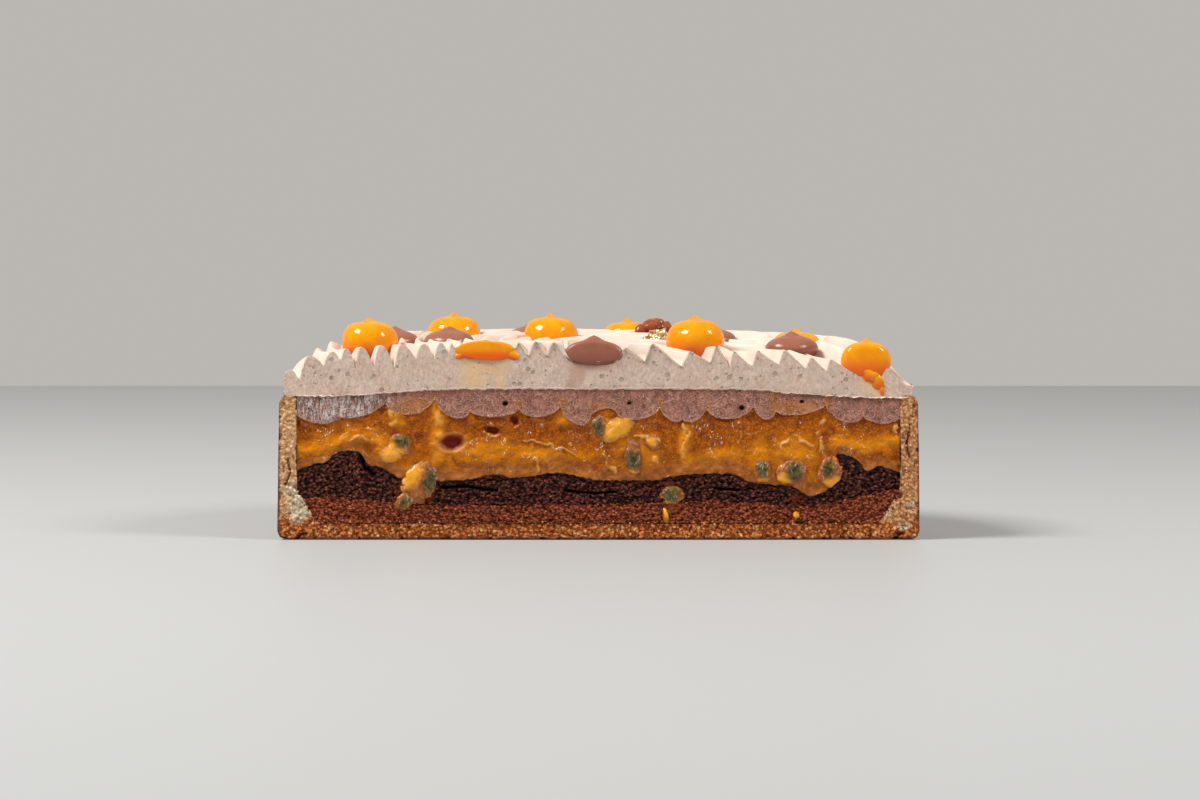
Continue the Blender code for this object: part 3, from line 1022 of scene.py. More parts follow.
@dataclass
class Cream:
    """Whipped cream raked into curved ridges, which the cut crosses on both sides of the axis."""

    material: bpy.types.Material
    dots: Sequence["Dot"] = ()
    edge: float = 75.8
    right_tips: Steps = Steps(
        ((0, 5.6), (1, 13.1), (2, 22.2), (3, 28.5), (4, 32.6), (5, 38.3), (6, 44.8), (7, 51.3),
         (8, 55.9), (9, 62.8), (10, 69.5), (11, 75.5)), 5.2)
    left_tips: Steps = Steps(
        ((9, 5.0), (10, 10.5), (11, 14.8), (12, 19.9), (13, 25.0), (14, 30.0), (15, 35.0), (16, 38.1),
         (17, 42.2), (18, 47.5), (19, 52.5), (20, 57.3), (21, 60.9), (22, 64.3), (23, 70.0),
         (24, 76.3)), 5.2)
    crest: Curve = Curve(
        ((-76, 40.0), (-73, 42.4), (-70, 44.4), (-64.3, 45.6), (-57, 46.6), (-45, 47.2), (-36, 47.8),
         (0, 47.8), (13, 47.8), (22, 46.2), (28.5, 47.1), (32.6, 45.8), (38.3, 46.1), (45, 46.1),
         (51.3, 44.4), (56, 44.0), (62.8, 43.4), (69.5, 41.6), (73, 39.4), (76, 36.4)))
    hollows: Curve = Curve(
        ((-75, 2.0), (-71.3, 5.6), (-67, 3.6), (-62.4, 3.2), (-58.8, 5.4), (-53.7, 5.6), (-48.9, 6.2),
         (-44, 4.0), (-39.8, 4.2), (-36.4, 3.2), (-20, 3.8), (-8, 3.8), (0, 4.6), (9, 5.2), (20, 4.6),
         (40, 4.2), (50, 3.6), (60, 3.4), (69, 2.6), (75, 1.2)))
    back_crest: Curve = Curve(((0, 47.8), (40, 48.5), (60, 48.9), (68, 48.2), (72.5, 45.4), (76, 38.6)))
    bottom: Curve = Curve(
        ((-76, 34.7), (-73, 34.7), (-60, 34.9), (-47.7, 35.8), (-38, 36.5), (-20, 36.8), (0, 36.6),
         (20, 36.7), (38.8, 36.4), (45, 35.6), (55.6, 34.9), (65, 34.3), (73, 34.3), (76, 34.4)), 0.35)
    first_ridge: float = -1.2
    last_ridge: float = 24.4
    lines: int = 12
    turns: int = 150
    rows: int = 44
    juice: tuple[Spot | Stroke, ...] = (
        Spot(-27.4, 42.2, 12.4, 4.6, 0, 0.5), Spot(-30.0, 39.4, 6.4, 6.0, 20, 0.6),
        Stroke(((-24.0, 41.0), (-23.4, 37.2)), 1.4), Spot(66.0, 38.4, 5.2, 5.4, -30, 0.5),
        Stroke(((65.4, 37.6), (67.9, 34.6)), 1.8),
    )
    cocoa: tuple[Spot | Stroke, ...] = (
        Spot(-5.0, 40.6, 4.2, 5.4, 10, 0.4), Stroke(((-5.9, 40.6), (-6.8, 37.0)), 1.9, 0.5),
        Spot(-0.6, 41.6, 9.0, 1.6, 0, 0.6), Stroke(((-3.6, 41.0), (-3.4, 38.6)), 0.9),
    )

    def radius(self, line: float, turn: float) -> float:
        """Distance from the axis of a ridge line.

        Args:
            line: The line, in ridges; crests are whole numbers.
            turn: Share of the half turn, from the right cut to the left.

        Returns:
            The radius, in millimetres.
        """
        return clamp(mix(self.right_tips(line), self.left_tips(line), turn), 0.0, self.edge)

    def height(self, line: float, turn: float, x: float, depth: float) -> float:
        """Height of the raked surface.

        Args:
            line: The ridge line, in ridges.
            turn: Share of the half turn.
            x: Distance along the cut.
            depth: Distance behind the cut.

        Returns:
            The height, in millimetres.
        """
        valley = mix(0.80, 0.32, smoothstep(turn, 0.15, 0.85))
        within = line - math.floor(line)
        share = within / valley if within < valley else (1 - within) / (1 - valley)
        rounding = mix(0.85, 2.1 if within >= valley else 1.5, smoothstep(turn, 0.2, 0.8))
        scoop = (0.12 * share * share + 0.88 * share**rounding)
        radius = math.hypot(x, depth)
        behind = smoothstep(depth, 4.0, 34.0)
        crest = mix(self.crest(x), self.back_crest(radius), behind)
        hollow = mix(self.hollows(x), 4.4 * smoothstep(radius, 76.0, 66.0), behind)
        fall = smoothstep(radius, 71.5, 75.9)
        wander = 0.35 * grain(x, depth, 0.0, 14.0) + 0.12 * grain(x, depth, 6.0, 3.0)
        level = crest - hollow * scoop * (1 - 0.5 * fall) + wander * (1 - fall)
        return min([level, *self._pressed(x, depth)])

    def _pressed(self, x: float, depth: float) -> list[float]:
        """How high the cream may stand under each dot that covers a place."""
        levels = []
        for dot in self.dots:
            away = math.hypot(x - dot.x, depth - dot.depth) / dot.radius
            if away < 1.1:
                lift = mix(-0.22, 0.25, smoothstep(away, 0.75, 1.1))
                levels.append(dot.height + lift * dot.radius * dot.squash)
        return levels

    def relief(self, x: float, z: float) -> float:
        """Depth of the cut face, with fine pores."""
        drawn = 0.10 * grain(x, z * 0.4, 2.0, 1.3, 2)
        return 0.5 + drawn + 0.16 * grain(x, z, 6.0, 4.5)

    def build(self) -> bpy.types.Object:
        """Makes the cream.

        Returns:
            The finished piece.
        """
        bm = bmesh.new()
        across = round((self.last_ridge - self.first_ridge) * self.lines)
        bmesh.ops.create_grid(bm, x_segments=across, y_segments=self.turns, size=0.5)
        for vert in bm.verts:
            line = mix(self.first_ridge, self.last_ridge, vert.co.x + 0.5)
            turn = vert.co.y + 0.5
            radius = self.radius(line, turn)
            angle = math.pi * (turn - 0.045 * math.sin(2 * math.pi * turn))
            x, depth = radius * math.cos(angle), abs(radius * math.sin(angle))
            if turn < 1e-5 or turn > 1 - 1e-5:
                depth = 0.0
            if radius <= 1e-6:
                x, depth = 0.0, 0.0
            vert.co = TART.at(x, self.height(line, turn, x, depth), depth)
        self._settle_edges(bm)
        bmesh.ops.remove_doubles(bm, verts=bm.verts, dist=WELD)
        bmesh.ops.dissolve_degenerate(bm, edges=bm.edges, dist=WELD)
        self._skirt(bm)
        self._paint(bm)
        return finish_piece("whipped_cream", bm, self.material, ("whipped_cream",))

    def _settle_edges(self, bm: bmesh.types.BMesh) -> None:
        """Gives lines that ran out onto the rim, or in to the axis, one height a place."""
        for vert in bm.verts:
            x, z, depth = TART.place(vert.co)
            radius = math.hypot(x, depth)
            if radius > self.edge - 0.001:
                wave = 0.6 * grain(x, depth, 0.0, 4.0)
                behind = smoothstep(depth, 4.0, 34.0)
                level = mix(mix(37.2, 39.2, smoothstep(x, 40, -60)), 38.6, behind)
                vert.co = TART.at(x, level + wave, depth)
            elif radius < 0.001:
                vert.co = TART.at(0.0, 44.6, 0.0)

    def _skirt(self, bm: bmesh.types.BMesh) -> None:
        """Carries the edge down to the ganache, and closes the underside."""
        made = bmesh.ops.extrude_edge_only(bm, edges=boundary(bm))["geom"]
        low = {item for item in made if isinstance(item, bmesh.types.BMVert)}
        for vert in low:
            x, _, depth = TART.place(vert.co)
            inwards = 1.0 if math.hypot(x, depth) < self.edge - 0.01 else 74.9 / self.edge
            level = self.bottom(x) + Layer.ragged(x, self.bottom)
            vert.co = TART.at(x * inwards, level, depth * inwards)
        hidden = bmesh.ops.extrude_edge_only(bm, edges=boundary(bm))["geom"]
        for vert in (item for item in hidden if isinstance(item, bmesh.types.BMVert)):
            x, _, depth = TART.place(vert.co)
            vert.co = TART.at(x * 0.95, 34.95, 2.5 + depth * 0.93)
        bmesh.ops.edgeloop_fill(bm, edges=boundary(bm))
        tall = [edge for edge in bm.edges if (edge.verts[0] in low) != (edge.verts[1] in low)]
        bmesh.ops.subdivide_edges(bm, edges=tall, cuts=self.rows - 1, use_grid_fill=True)
        for vert in bm.verts:
            x, z, depth = TART.place(vert.co)
            radius = math.hypot(x, depth)
            share = clamp((z - 34.6) / 4.0)
            if radius > 74.6 and share < 1.0:
                bulge = 0.35 * math.sin(share * math.pi) / radius
                vert.co = TART.at(x * (1 + bulge), z, depth * (1 + bulge))

    def _paint(self, bm: bmesh.types.BMesh) -> None:
        """Marks the cut, its pores and its stains, and roughens it."""
        cut = bm.verts.layers.float.new("cut")
        juice = bm.verts.layers.float.new("juice")
        cocoa = bm.verts.layers.float.new("cocoa")
        for vert in bm.verts:
            x, z, depth = TART.place(vert.co)
            if depth > 0.01:
                continue
            top = any(TART.place(edge.other_vert(vert).co)[2] > 0.05 for edge in vert.link_edges)
            vert[cut] = 0.5 if top else 1.0
            uneven = 0.9 * grain(x, z, 3.0, 2.0, 2)
            vert[juice] = covered(self.juice, x + uneven, z)
            vert[cocoa] = covered(self.cocoa, x + uneven, z)
            vert.co = TART.at(x, z, self.relief(x, z))


@dataclass(frozen=True)
class DotForm:
    """How a piped dot rises, sinks and ends in a point, all as shares of its radius."""

    node: str
    slot: Slot
    rise: float
    sink: float
    peak: float
    peak_width: float
    fullness: float


@dataclass(frozen=True)
class Dot:
    """One piped dot: where it sits, and which way its point leans."""

    x: float
    depth: float
    radius: float
    height: float
    lean: float = 0.0
    stretch: float = 1.0
    squash: float = 1.0


@dataclass
class DotRow:
    """Piped dots of one kind on the cream; those that reach the cut lie flat against it."""

    form: DotForm
    dots: tuple[Dot, ...]
    material: bpy.types.Material
    segments: int = 72
    rings: int = 30
    slump: float = 1.6

    def build(self) -> list[bpy.types.Object]:
        """Makes every dot.

        Returns:
            The finished pieces.
        """
        return [self._dot(number + 1, dot) for number, dot in enumerate(self.dots)]

    def _dot(self, number: int, dot: Dot) -> bpy.types.Object:
        """One dot, spun from its outline."""
        form = self.form
        bm = bmesh.new()
        outline = []
        for ring in range(self.rings + 1):
            angle = math.pi * (ring / self.rings - 0.5)
            reach = max(0.0, math.cos(angle)) ** form.fullness
            level = math.sin(angle) * (form.rise if angle > 0 else form.sink)
            level += form.peak * math.exp(-((reach / form.peak_width) ** 2)) if angle > 0 else 0.0
            outline.append(bm.verts.new((reach * dot.radius * MM, 0.0, level * dot.radius * MM)))
        edges = [bm.edges.new(pair) for pair in zip(outline, outline[1:])]
        bmesh.ops.spin(
            bm, geom=outline + edges, cent=(0, 0, 0), axis=(0, 0, 1), angle=2 * math.pi,
            steps=self.segments, use_merge=True,
        )
        bmesh.ops.remove_doubles(bm, verts=bm.verts, dist=WELD)
        foot = bm.verts.layers.float.new("foot")
        seed = Vector((number * 7.3, dot.radius, dot.x))
        for vert in bm.verts:
            x, y, z = vert.co / MM
            rough = 0.05 + 0.16 * (1 - dot.squash)
            swell = 1 + rough * noise.noise(Vector((x, y, z)) / 5.5 + seed)
            lean = dot.lean * max(0.0, z) ** 2 / dot.radius
            vert[foot] = smoothstep(z / dot.radius, 0.25, -0.45)
            place = (x * swell * dot.stretch + lean, y * swell, z * swell * dot.squash)
            vert.co = Vector(place) * MM + TART.at(dot.x, dot.height, dot.depth)
        for vert in bm.verts:
            x, z, depth = TART.place(vert.co)
            if depth < self.slump:
                vert.co = TART.at(x, z, self.slump * math.exp((depth - self.slump) / self.slump))
        node = f"{form.node}_{number}"
        return finish_piece(node, bm, self.material, (node,))


@dataclass(frozen=True)
class Lump:
    """A rounded lump at a place, with its three half sizes and its turn in the cut's plane."""

    x: float
    z: float
    depth: float
    size: Colour
    turn: float = 0.0
    rough: float = 0.08


@dataclass
class Lumps:
    """Closed rounded lumps of one kind, joined as one mesh."""

    name: str
    lumps: tuple[Lump, ...]
    slot: Slot
    material: bpy.types.Material
    nodes: tuple[str, ...] = ()
    detail: int = 4
    wave: float = 1.6

    def build(self) -> bpy.types.Object:
        """Makes the lumps.

        Returns:
            The finished piece.
        """
        bm = bmesh.new()
        foot = bm.verts.layers.float.new("foot")
        for number, lump in enumerate(self.lumps):
            verts = bmesh.ops.create_icosphere(bm, subdivisions=self.detail, radius=1.0)["verts"]
            turn = Matrix.Rotation(math.radians(-lump.turn), 3, "Y")
            for vert in verts:
                way = vert.co.normalized()
                stretched = Vector((way.x * lump.size[0], way.y * lump.size[1], way.z * lump.size[2]))
                swell = 1 + lump.rough * noise.fractal(
                    stretched / self.wave + Vector((number * 5.1, 0, 2)), 1, 2, 2
                )
                vert[foot] = smoothstep(way.z, 0.5, -0.7)
                vert.co = (turn @ stretched) * swell * MM + TART.at(lump.x, lump.z, lump.depth)
        return finish_piece(self.name, bm, self.material, self.nodes)


@dataclass(frozen=True)
class Sac:
    """A gel sac in the jelly: its outline, the seed inside and its brightest pulp."""

    outline: Spot
    seed: Spot | None
    yolk: Spot


@dataclass
class SeedSacs:
    """Gel sacs that bulge from the cut, joined as one mesh."""

    name: str
    sacs: tuple[Sac, ...]
    slot: Slot
    material: bpy.types.Material
    detail: int = 5
    thickness: float = 1.3
    sunk: float = 1.0

    def build(self) -> bpy.types.Object:
        """Makes the sacs.

        Returns:
            The finished piece.
        """
        bm = bmesh.new()
        seed = bm.verts.layers.float.new("seed")
        yolk = bm.verts.layers.float.new("yolk")
        for number, sac in enumerate(self.sacs):
            outline = sac.outline
            verts = bmesh.ops.create_icosphere(bm, subdivisions=self.detail, radius=1.0)["verts"]
            turn = Matrix.Rotation(math.radians(-outline.turn), 3, "Y")
            for vert in verts:
                way = vert.co.normalized()
                half = Vector(
                    (way.x * outline.width / 2, way.y * self.thickness, way.z * outline.height / 2)
                )
                swell = 1 + 0.16 * noise.fractal(half / 1.9 + Vector((number * 4.7, 0, 1)), 1, 2, 3)
                vert.co = (turn @ half) * swell * MM + TART.at(outline.x, outline.z, self.sunk)
                x, z, _ = TART.place(vert.co)
                uneven = 0.5 * grain(x, z, 3.0, 1.2, 2)
                vert[seed] = sac.seed.weight(x + uneven, z) if sac.seed else 0.0
                vert[yolk] = sac.yolk.weight(x - uneven, z + uneven)
        return finish_piece(self.name, bm, self.material)


@dataclass
class CrumbGrains:
    """Loose crumb left by the knife along the base, as one mesh of small angular grains."""

    material: bpy.types.Material
    count: int = 900
    seed: int = 11

    def build(self) -> bpy.types.Object:
        """Makes the grains.

        Returns:
            The finished piece.
        """
        dice = random.Random(self.seed)
        bm = bmesh.new()
        cut = bm.verts.layers.float.new("cut")
        toast = bm.verts.layers.float.new("toast")
        for _ in range(self.count):
            x = dice.uniform(-TART.radius + 1.2, TART.radius - 1.2)
            z = dice.uniform(0.9, 4.6) if abs(x) < 66 or dice.random() < 0.4 else dice.uniform(1.2, 33.0)
            if z > 5.0:
                x = math.copysign(dice.uniform(73.6, 76.2), x)
            size = 0.12 + 0.24 * dice.random() ** 2
            verts = bmesh.ops.create_icosphere(bm, subdivisions=1, radius=size)["verts"]
            place = TART.at(x, z, 0.18 + 0.3 * dice.random())
            for vert in verts:
                jitter = Vector((dice.uniform(0.7, 1.3), dice.uniform(0.7, 1.3), dice.uniform(0.6, 1.1)))
                vert.co = Vector((a * b for a, b in zip(vert.co, jitter))) * MM + place
                vert[cut] = 1.0
                vert[toast] = 1.0 if z < 5.0 else 0.0
        return finish_piece("crumb_grains", bm, self.material, smooth=False)


@dataclass
class GoldLeaf:
    """Two crumpled scraps of gold leaf on the cream."""

    material: bpy.types.Material
    scraps: tuple[Lump, ...] = (
        Lump(14.9, 48.4, 24.5, (2.1, 0.8, 1.5), 8), Lump(12.8, 47.8, 25.6, (1.8, 0.7, 1.0), 30),
        Lump(55.4, 45.4, 26.0, (0.9, 0.5, 0.7), -20),
    )
    steps: int = 26

    def build(self) -> bpy.types.Object:
        """Makes the scraps.

        Returns:
            The finished piece.
        """
        bm = bmesh.new()
        for number, scrap in enumerate(self.scraps):
            verts = bmesh.ops.create_grid(
                bm, x_segments=self.steps, y_segments=self.steps, size=1.0
            )["verts"]
            faces = list({face for vert in verts for face in vert.link_faces})
            turn = Matrix.Rotation(math.radians(-scrap.turn), 3, "Y")
            for vert in verts:
                along, aside, _ = vert.co
                edge = 1 + 0.35 * grain(along, aside, number * 3.0, 0.5, 2)
                crumple = grain(along, aside, number * 5.0 + 2.0, 0.45, 3)
                place = Vector(
                    (along * edge * scrap.size[0], crumple * scrap.size[1], aside * edge * scrap.size[2])
                )
                vert.co = (turn @ place) * MM + TART.at(scrap.x, scrap.z, scrap.depth)
            bmesh.ops.solidify(bm, geom=faces, thickness=0.08 * MM)
        return finish_piece("gold_leaf", bm, self.material)


@dataclass(frozen=True)
class AlmondLook:
    """Shape of the almond crumb's cut."""

    bottom: Curve = Curve(((-70, 3.8), (0, 3.9), (70, 3.8)))
    top: Curve = Curve(
        ((-71, 10.3), (-64, 10.4), (-52, 9.3), (-45, 8.4), (-20, 8.4), (0, 8.6), (15, 9.0), (38, 9.0),
         (46, 7.9), (55, 8.6), (62, 10.2), (71, 12)), 0.4)
    drips: tuple[Stroke, ...] = (
        Stroke(((17.0, 9.0), (16.4, 4.8)), 1.6), Stroke(((19.0, 9.0), (18.6, 6.0)), 1.0)
    )

    def relief(self, x: float, z: float) -> float:
        """Depth of the crumb."""
        rough = 0.30 * grain(x, z * 1.3, 5.0, 1.1, 3)
        pits = 0.5 * smoothstep(grain(x, z * 1.4, 33.0, 0.9), 0.25, 0.5)
        return 0.45 + rough + pits

    def paint(self, x: float, z: float) -> dict[str, float]:
        """Shares of each look."""
        return {"wet": 0.8 * covered(self.drips, x, z), "soak_and_crack_shade": 0.0}


@dataclass(frozen=True)
class BrownieLook:
    """Shape of the brownie's cut."""

    top: Curve = Curve(
        ((-72.6, 16.8), (-68.6, 18.2), (-65.2, 19.1), (-64.1, 20.4),
         (-62.6, 21.2), (-58.0, 21.3), (-56.6, 19.8),
         (-55.6, 18.0), (-53.2, 17.7), (-50.5, 16.3), (-47, 14.5),
         (-42, 13.5), (-38.3, 14.1), (-30.5, 14.6), (-26, 15.7), (-19.6, 14.9), (-10, 16.1), (-0.4, 14.4),
         (7, 14.3), (14, 14.4), (20, 15.6), (32.8, 15.7), (36.5, 13.9), (47, 12.7), (51.3, 10.5),
         (55.4, 12.2),
         (56.4, 15), (57.2, 20.0), (58.2, 20.7), (60.6, 20.2), (62.4, 19.2), (64.8, 16.6), (67.5, 17.8),
         (72.6, 16.2)), 0.28)
    drips: tuple[Spot | Stroke, ...] = (
        Spot(-44.4, 11.4, 9.0, 6.5, 10), Stroke(((-41.0, 11.0), (-40.6, 7.4)), 2.0),
        Stroke(((17.2, 13.2), (17.0, 9.6), (16.2, 5.0)), 2.2), Spot(48.0, 8.6, 3.4, 6.5, 0),
    )
    cracks: tuple[Stroke, ...] = (
        Stroke(((-37.6, 12.6), (-32.0, 13.0), (-27.4, 12.2), (-24.6, 11.9)), 0.7),
        Stroke(((-57.4, 20.4), (-56.4, 17.4), (-54.2, 15.8)), 0.7),
        Stroke(((28.0, 12.4), (34.0, 12.0)), 0.5),
        Stroke(((-8.0, 11.8), (-1.0, 11.2), (4.0, 11.6)), 0.5),
    )

    def relief(self, x: float, z: float) -> float:
        """Depth of the crumb."""
        rough = 0.36 * grain(x, z * 1.4, 15.0, 1.3, 3)
        pits = 0.6 * smoothstep(grain(x, z * 1.5, 43.0, 1.0, 2), 0.22, 0.55)
        return 0.5 + rough + pits + 1.4 * covered(self.cracks, x, z)

    def paint(self, x: float, z: float) -> dict[str, float]:
        """Shares of each look."""
        below = self.top(x) - z + 0.8 * grain(x, z, 7.0, 2.2, 2)
        return {
            "wet": 0.85 * covered(self.drips, x + 0.8 * grain(x, z, 2.0, 1.5), z),
            # Juice seeps into the band under the top; the cracks get painted shade.
            "soak_and_crack_shade": max(0.8 * smoothstep(below, 1.5, 0.2), covered(self.cracks, x, z)),
        }


@dataclass(frozen=True)
class GanacheRope:
    """The ganache's scalloped underside, piped bulge by bulge onto the jelly."""

    tear: float = 0.2
    cusps: Line = (
        (-73.2, 31.0), (-62.0, 29.8), (-51.3, 33.3), (-39.5, 34.5), (-31.0, 31.3), (-19.1, 31.7),
        (-9.2, 32.5),
        (-2.0, 29.5), (4.4, 30.5), (14.8, 32.0), (20.1, 29.3), (26.1, 31.7), (37.4, 32.4), (42.7, 31.0),
        (54.7, 32.6), (63.7, 30.0), (72.9, 29.5),
    )
    sags: tuple[float, ...] = (
        2.3, 1.6, 3.8, 3.4, 1.9, 2.5, 3.1, -1.5, 2.3, 1.9, 1.9, 2.9, 2.6, 1.6, 2.9, 1.7,
    )

    def __call__(self, x: float) -> float:
        """Height of the underside at x."""
        index = clamp(bisect_right(self.cusps, (x, math.inf)) - 1, 0, len(self.sags) - 1)
        start, end = self.cusps[int(index)], self.cusps[int(index) + 1]
        share = clamp((x - start[0]) / (end[0] - start[0]))
        sag = self.sags[int(index)] * (4 * share * (1 - share)) ** 0.6
        return mix(start[1], end[1], share) - sag


@dataclass(frozen=True)
class JellyLook:
    """Shape of the fruit jelly's cut, with its holes, folds and milky lower band."""

    floor: Curve
    holes: tuple[Spot, ...] = (
        Spot(-35.4, 23.5, 5.9, 3.5, 8, 0.4), Spot(-25.6, 26.4, 3.6, 1.7, -12, 0.5),
        Spot(-20.3, 28.8, 1.7, 2.4, 30, 0.6),
    )
    folds: tuple[Stroke, ...] = (
        Stroke(((-18.4, 24.2), (-12.0, 22.8), (-5.2, 20.6)), 0.5),
        Stroke(((20.0, 28.4), (21.6, 25.6), (20.6, 22.0), (21.2, 18.2)), 0.7),
        Stroke(((53.7, 28.8), (53.2, 26.0), (54.4, 22.0), (54.7, 19.7)), 0.9),
        Stroke(((-38.6, 33.6), (-38.4, 29.0), (-38.0, 25.0)), 1.5),
        Stroke(((-28.0, 25.6), (-26.4, 28.0), (-23.4, 27.6)), 0.5),
        Stroke(((-23.4, 27.6), (-24.0, 25.2), (-27.2, 25.0)), 0.5),
        Stroke(((44.4, 23.6), (48.4, 24.6), (51.4, 22.6)), 0.5),
        Stroke(((33.8, 23.4), (34.8, 26.4)), 0.4),
        Stroke(((9.0, 25.4), (12.6, 24.2), (14.2, 21.6), (13.6, 18.6)), 0.7),
        Stroke(((-51.0, 34.6), (-49.8, 31.6), (-49.4, 27.8)), 1.0),
        Stroke(((-15.0, 19.6), (-14.4, 16.6)), 0.6),
        Stroke(((1.0, 20.6), (2.4, 17.4), (4.6, 16.4)), 0.6), Stroke(((71.4, 29.0), (71.8, 26.2)), 0.7),
        Stroke(((-60.6, 23.6), (-56.6, 25.4), (-54.8, 24.2)), 0.5),
    )
    glows: tuple[Spot | Stroke, ...] = (
        Stroke(((-72.0, 21.8), (-66.0, 22.4), (-60.0, 24.6), (-54.6, 25.4)), 2.6, 0.9),
        Stroke(((-54.6, 25.4), (-51.4, 22.6), (-49.4, 20.6)), 3.4, 0.9),
        Spot(-50.5, 20.6, 5.4, 3.6, 0, 0.6),
        Stroke(((-49.4, 33.6), (-48.6, 28.4)), 3.0, 0.9),
        Stroke(((-38.4, 33.0), (-38.6, 26.4), (-38.8, 19.6)), 3.2, 0.9),
        Spot(-27.4, 21.4, 15.0, 4.4, 0, 0.9), Spot(1.6, 26.6, 5.6, 4.6, 10, 0.6),
        Spot(-6.4, 29.2, 6.0, 3.0, 0, 0.9),
        Spot(9.4, 21.6, 9.0, 6.4, -20, 0.9), Stroke(((21.6, 18.4), (20.6, 22.6), (21.4, 27.0)), 2.4, 0.9),
        Spot(30.0, 20.4, 10.0, 3.0, 8, 0.9), Spot(47.6, 21.2, 11.0, 7.4, 0, 0.8),
        Spot(38.4, 20.0, 4.4, 9.0, -14, 0.9),
        Stroke(((57.6, 23.6), (64.0, 22.2), (71.8, 24.4)), 2.8, 0.9),
        Spot(-14.0, 20.4, 13.0, 3.6, 0, 0.9),
        Spot(-45.6, 16.4, 7.0, 3.0, -30, 0.8),
    )
    # Areas where painted glints show on the jelly.
    glint_areas: tuple[Spot, ...] = (
        Spot(-64.0, 24.6, 18.0, 9.0, 0, 0.6), Spot(-52.0, 27.4, 12.0, 7.0, 0, 0.6),
        Spot(-20.0, 23.0, 22.0, 12.0, 0, 0.6),
        Spot(4.0, 23.4, 22.0, 14.0, 0, 0.6), Spot(30.0, 25.0, 20.0, 9.0, 0, 0.6),
        Spot(55.0, 25.0, 22.0, 12.0, 0, 0.6),
    )

    def _fold(self, x: float, z: float) -> float:
        """How strongly a fold's thin lip stands out at a place; lips wander and fade in and out."""
        aside, up = 0.9 * grain(x, z, 50.0, 2.4, 2), 0.9 * grain(x, z, 60.0, 2.4, 2)
        fade = smoothstep(grain(x, z, 70.0, 2.0), -0.45, 0.25)
        return covered(self.folds, x + aside, z + up) * fade

    def relief(self, x: float, z: float) -> float:
        """Depth of the wet face."""
        wave = 0.42 * grain(x, z, 7.0, 3.6, 2) + 0.16 * grain(x, z, 21.0, 1.3, 2)
        raised = 0.5 * self._fold(x, z) + 0.35 * covered(self.glows, x, z)
        sagging = 0.3 * smoothstep(z - self.floor(x), 4.0, 0.0)
        return max(0.05, 0.95 + wave + 1.1 * covered(self.holes, x, z) - raised - sagging)

    def paint(self, x: float, z: float) -> dict[str, float]:
        """Shares of each look."""
        above = z - self.floor(x) + 1.0 * grain(x, z, 4.0, 3.0, 2)
        uneven = 0.7 * grain(x, z, 12.0, 2.2, 2)
        # Painted shade goes into the holes, and the glow and pale marks are left out there.
        hollow = covered(self.holes, x, z)
        narrow = smoothstep(abs(x), 50.0, 62.0)
        milk = smoothstep(above, mix(4.6, 3.2, narrow), mix(1.8, 1.0, narrow))
        patchy = smoothstep(grain(x, z, 30.0, 5.0, 2), -0.35, 0.35)
        band = smoothstep(above, 2.4, 4.4) * smoothstep(above, 8.5, 5.0) * patchy
        ring = covered((Spot(-35.4, 23.5, 7.2, 4.9, 8, 0.25),), x, z)
        return {
            "milk": 0.9 * milk,
            "glow": max(0.9 * covered(self.glows, x + uneven, z + uneven), 0.5 * band) * (1 - hollow),
            "hollow": hollow,
            "pale": max(0.55 * ring, 0.75 * self._fold(x, z)) * (1 - hollow),
            "glint_area": covered(self.glint_areas, x, z),
        }


@dataclass(frozen=True)
class GanacheLook:
    """Marks on the ganache's cut: drag streaks, films of jelly, small holes that take painted shade."""

    rope: GanacheRope
    holes: tuple[Spot, ...] = (
        Spot(-22.5, 32.9, 1.3, 1.0, 0, 0.4), Spot(34.5, 31.9, 1.2, 1.0, 0, 0.4),
        Spot(-53.5, 30.2, 1.1, 1.4, 0, 0.4),
        Spot(7.4, 33.0, 0.9, 0.7, 0, 0.4), Spot(49.0, 33.4, 0.9, 0.7, 0, 0.4),
    )
    films: tuple[Spot | Stroke, ...] = (
        Spot(-45.3, 32.0, 11.0, 4.6, 8, 0.5), Stroke(((-39.5, 30.0), (-39.4, 34.6)), 2.2),
        Stroke(((-19.1, 29.4), (-19.1, 33.6)), 1.8), Stroke(((-8.9, 30.0), (-8.8, 33.6)), 2.0),
        Spot(0.3, 31.4, 5.0, 4.2, 0, 0.5), Stroke(((14.8, 30.0), (14.9, 33.4)), 1.8),
        Spot(48.8, 31.8, 13.0, 3.8, -4, 0.5), Stroke(((42.6, 30.0), (42.4, 35.2)), 2.0),
        Stroke(((55.0, 30.4), (55.4, 34.6)), 2.0), Stroke(((26.2, 30.4), (26.2, 32.6)), 1.4),
    )
    streaks: Spot = Spot(-62.0, 32.4, 24.0, 8.0, 0, 0.4)

    def relief(self, x: float, z: float) -> float:
        """Depth of the satin face."""
        drawn = 0.16 * grain(x, z * 0.3, 3.0, 1.0, 2)
        return 0.5 + drawn + 0.16 * grain(x, z, 9.0, 3.0) + 1.2 * covered(self.holes, x, z)

    def paint(self, x: float, z: float) -> dict[str, float]:
        """Shares of each look."""
        uneven = 0.7 * grain(x, z, 3.0, 1.4, 2)
        return {
            "film": 0.8 * covered(self.films, x + uneven, z),
            "streak": mix(0.08, 1.0, self.streaks.weight(x, z)),
            "rim": 0.6 * smoothstep(z - self.rope(x), 0.75, 0.25),
            "hollow": covered(self.holes, x, z),
        }


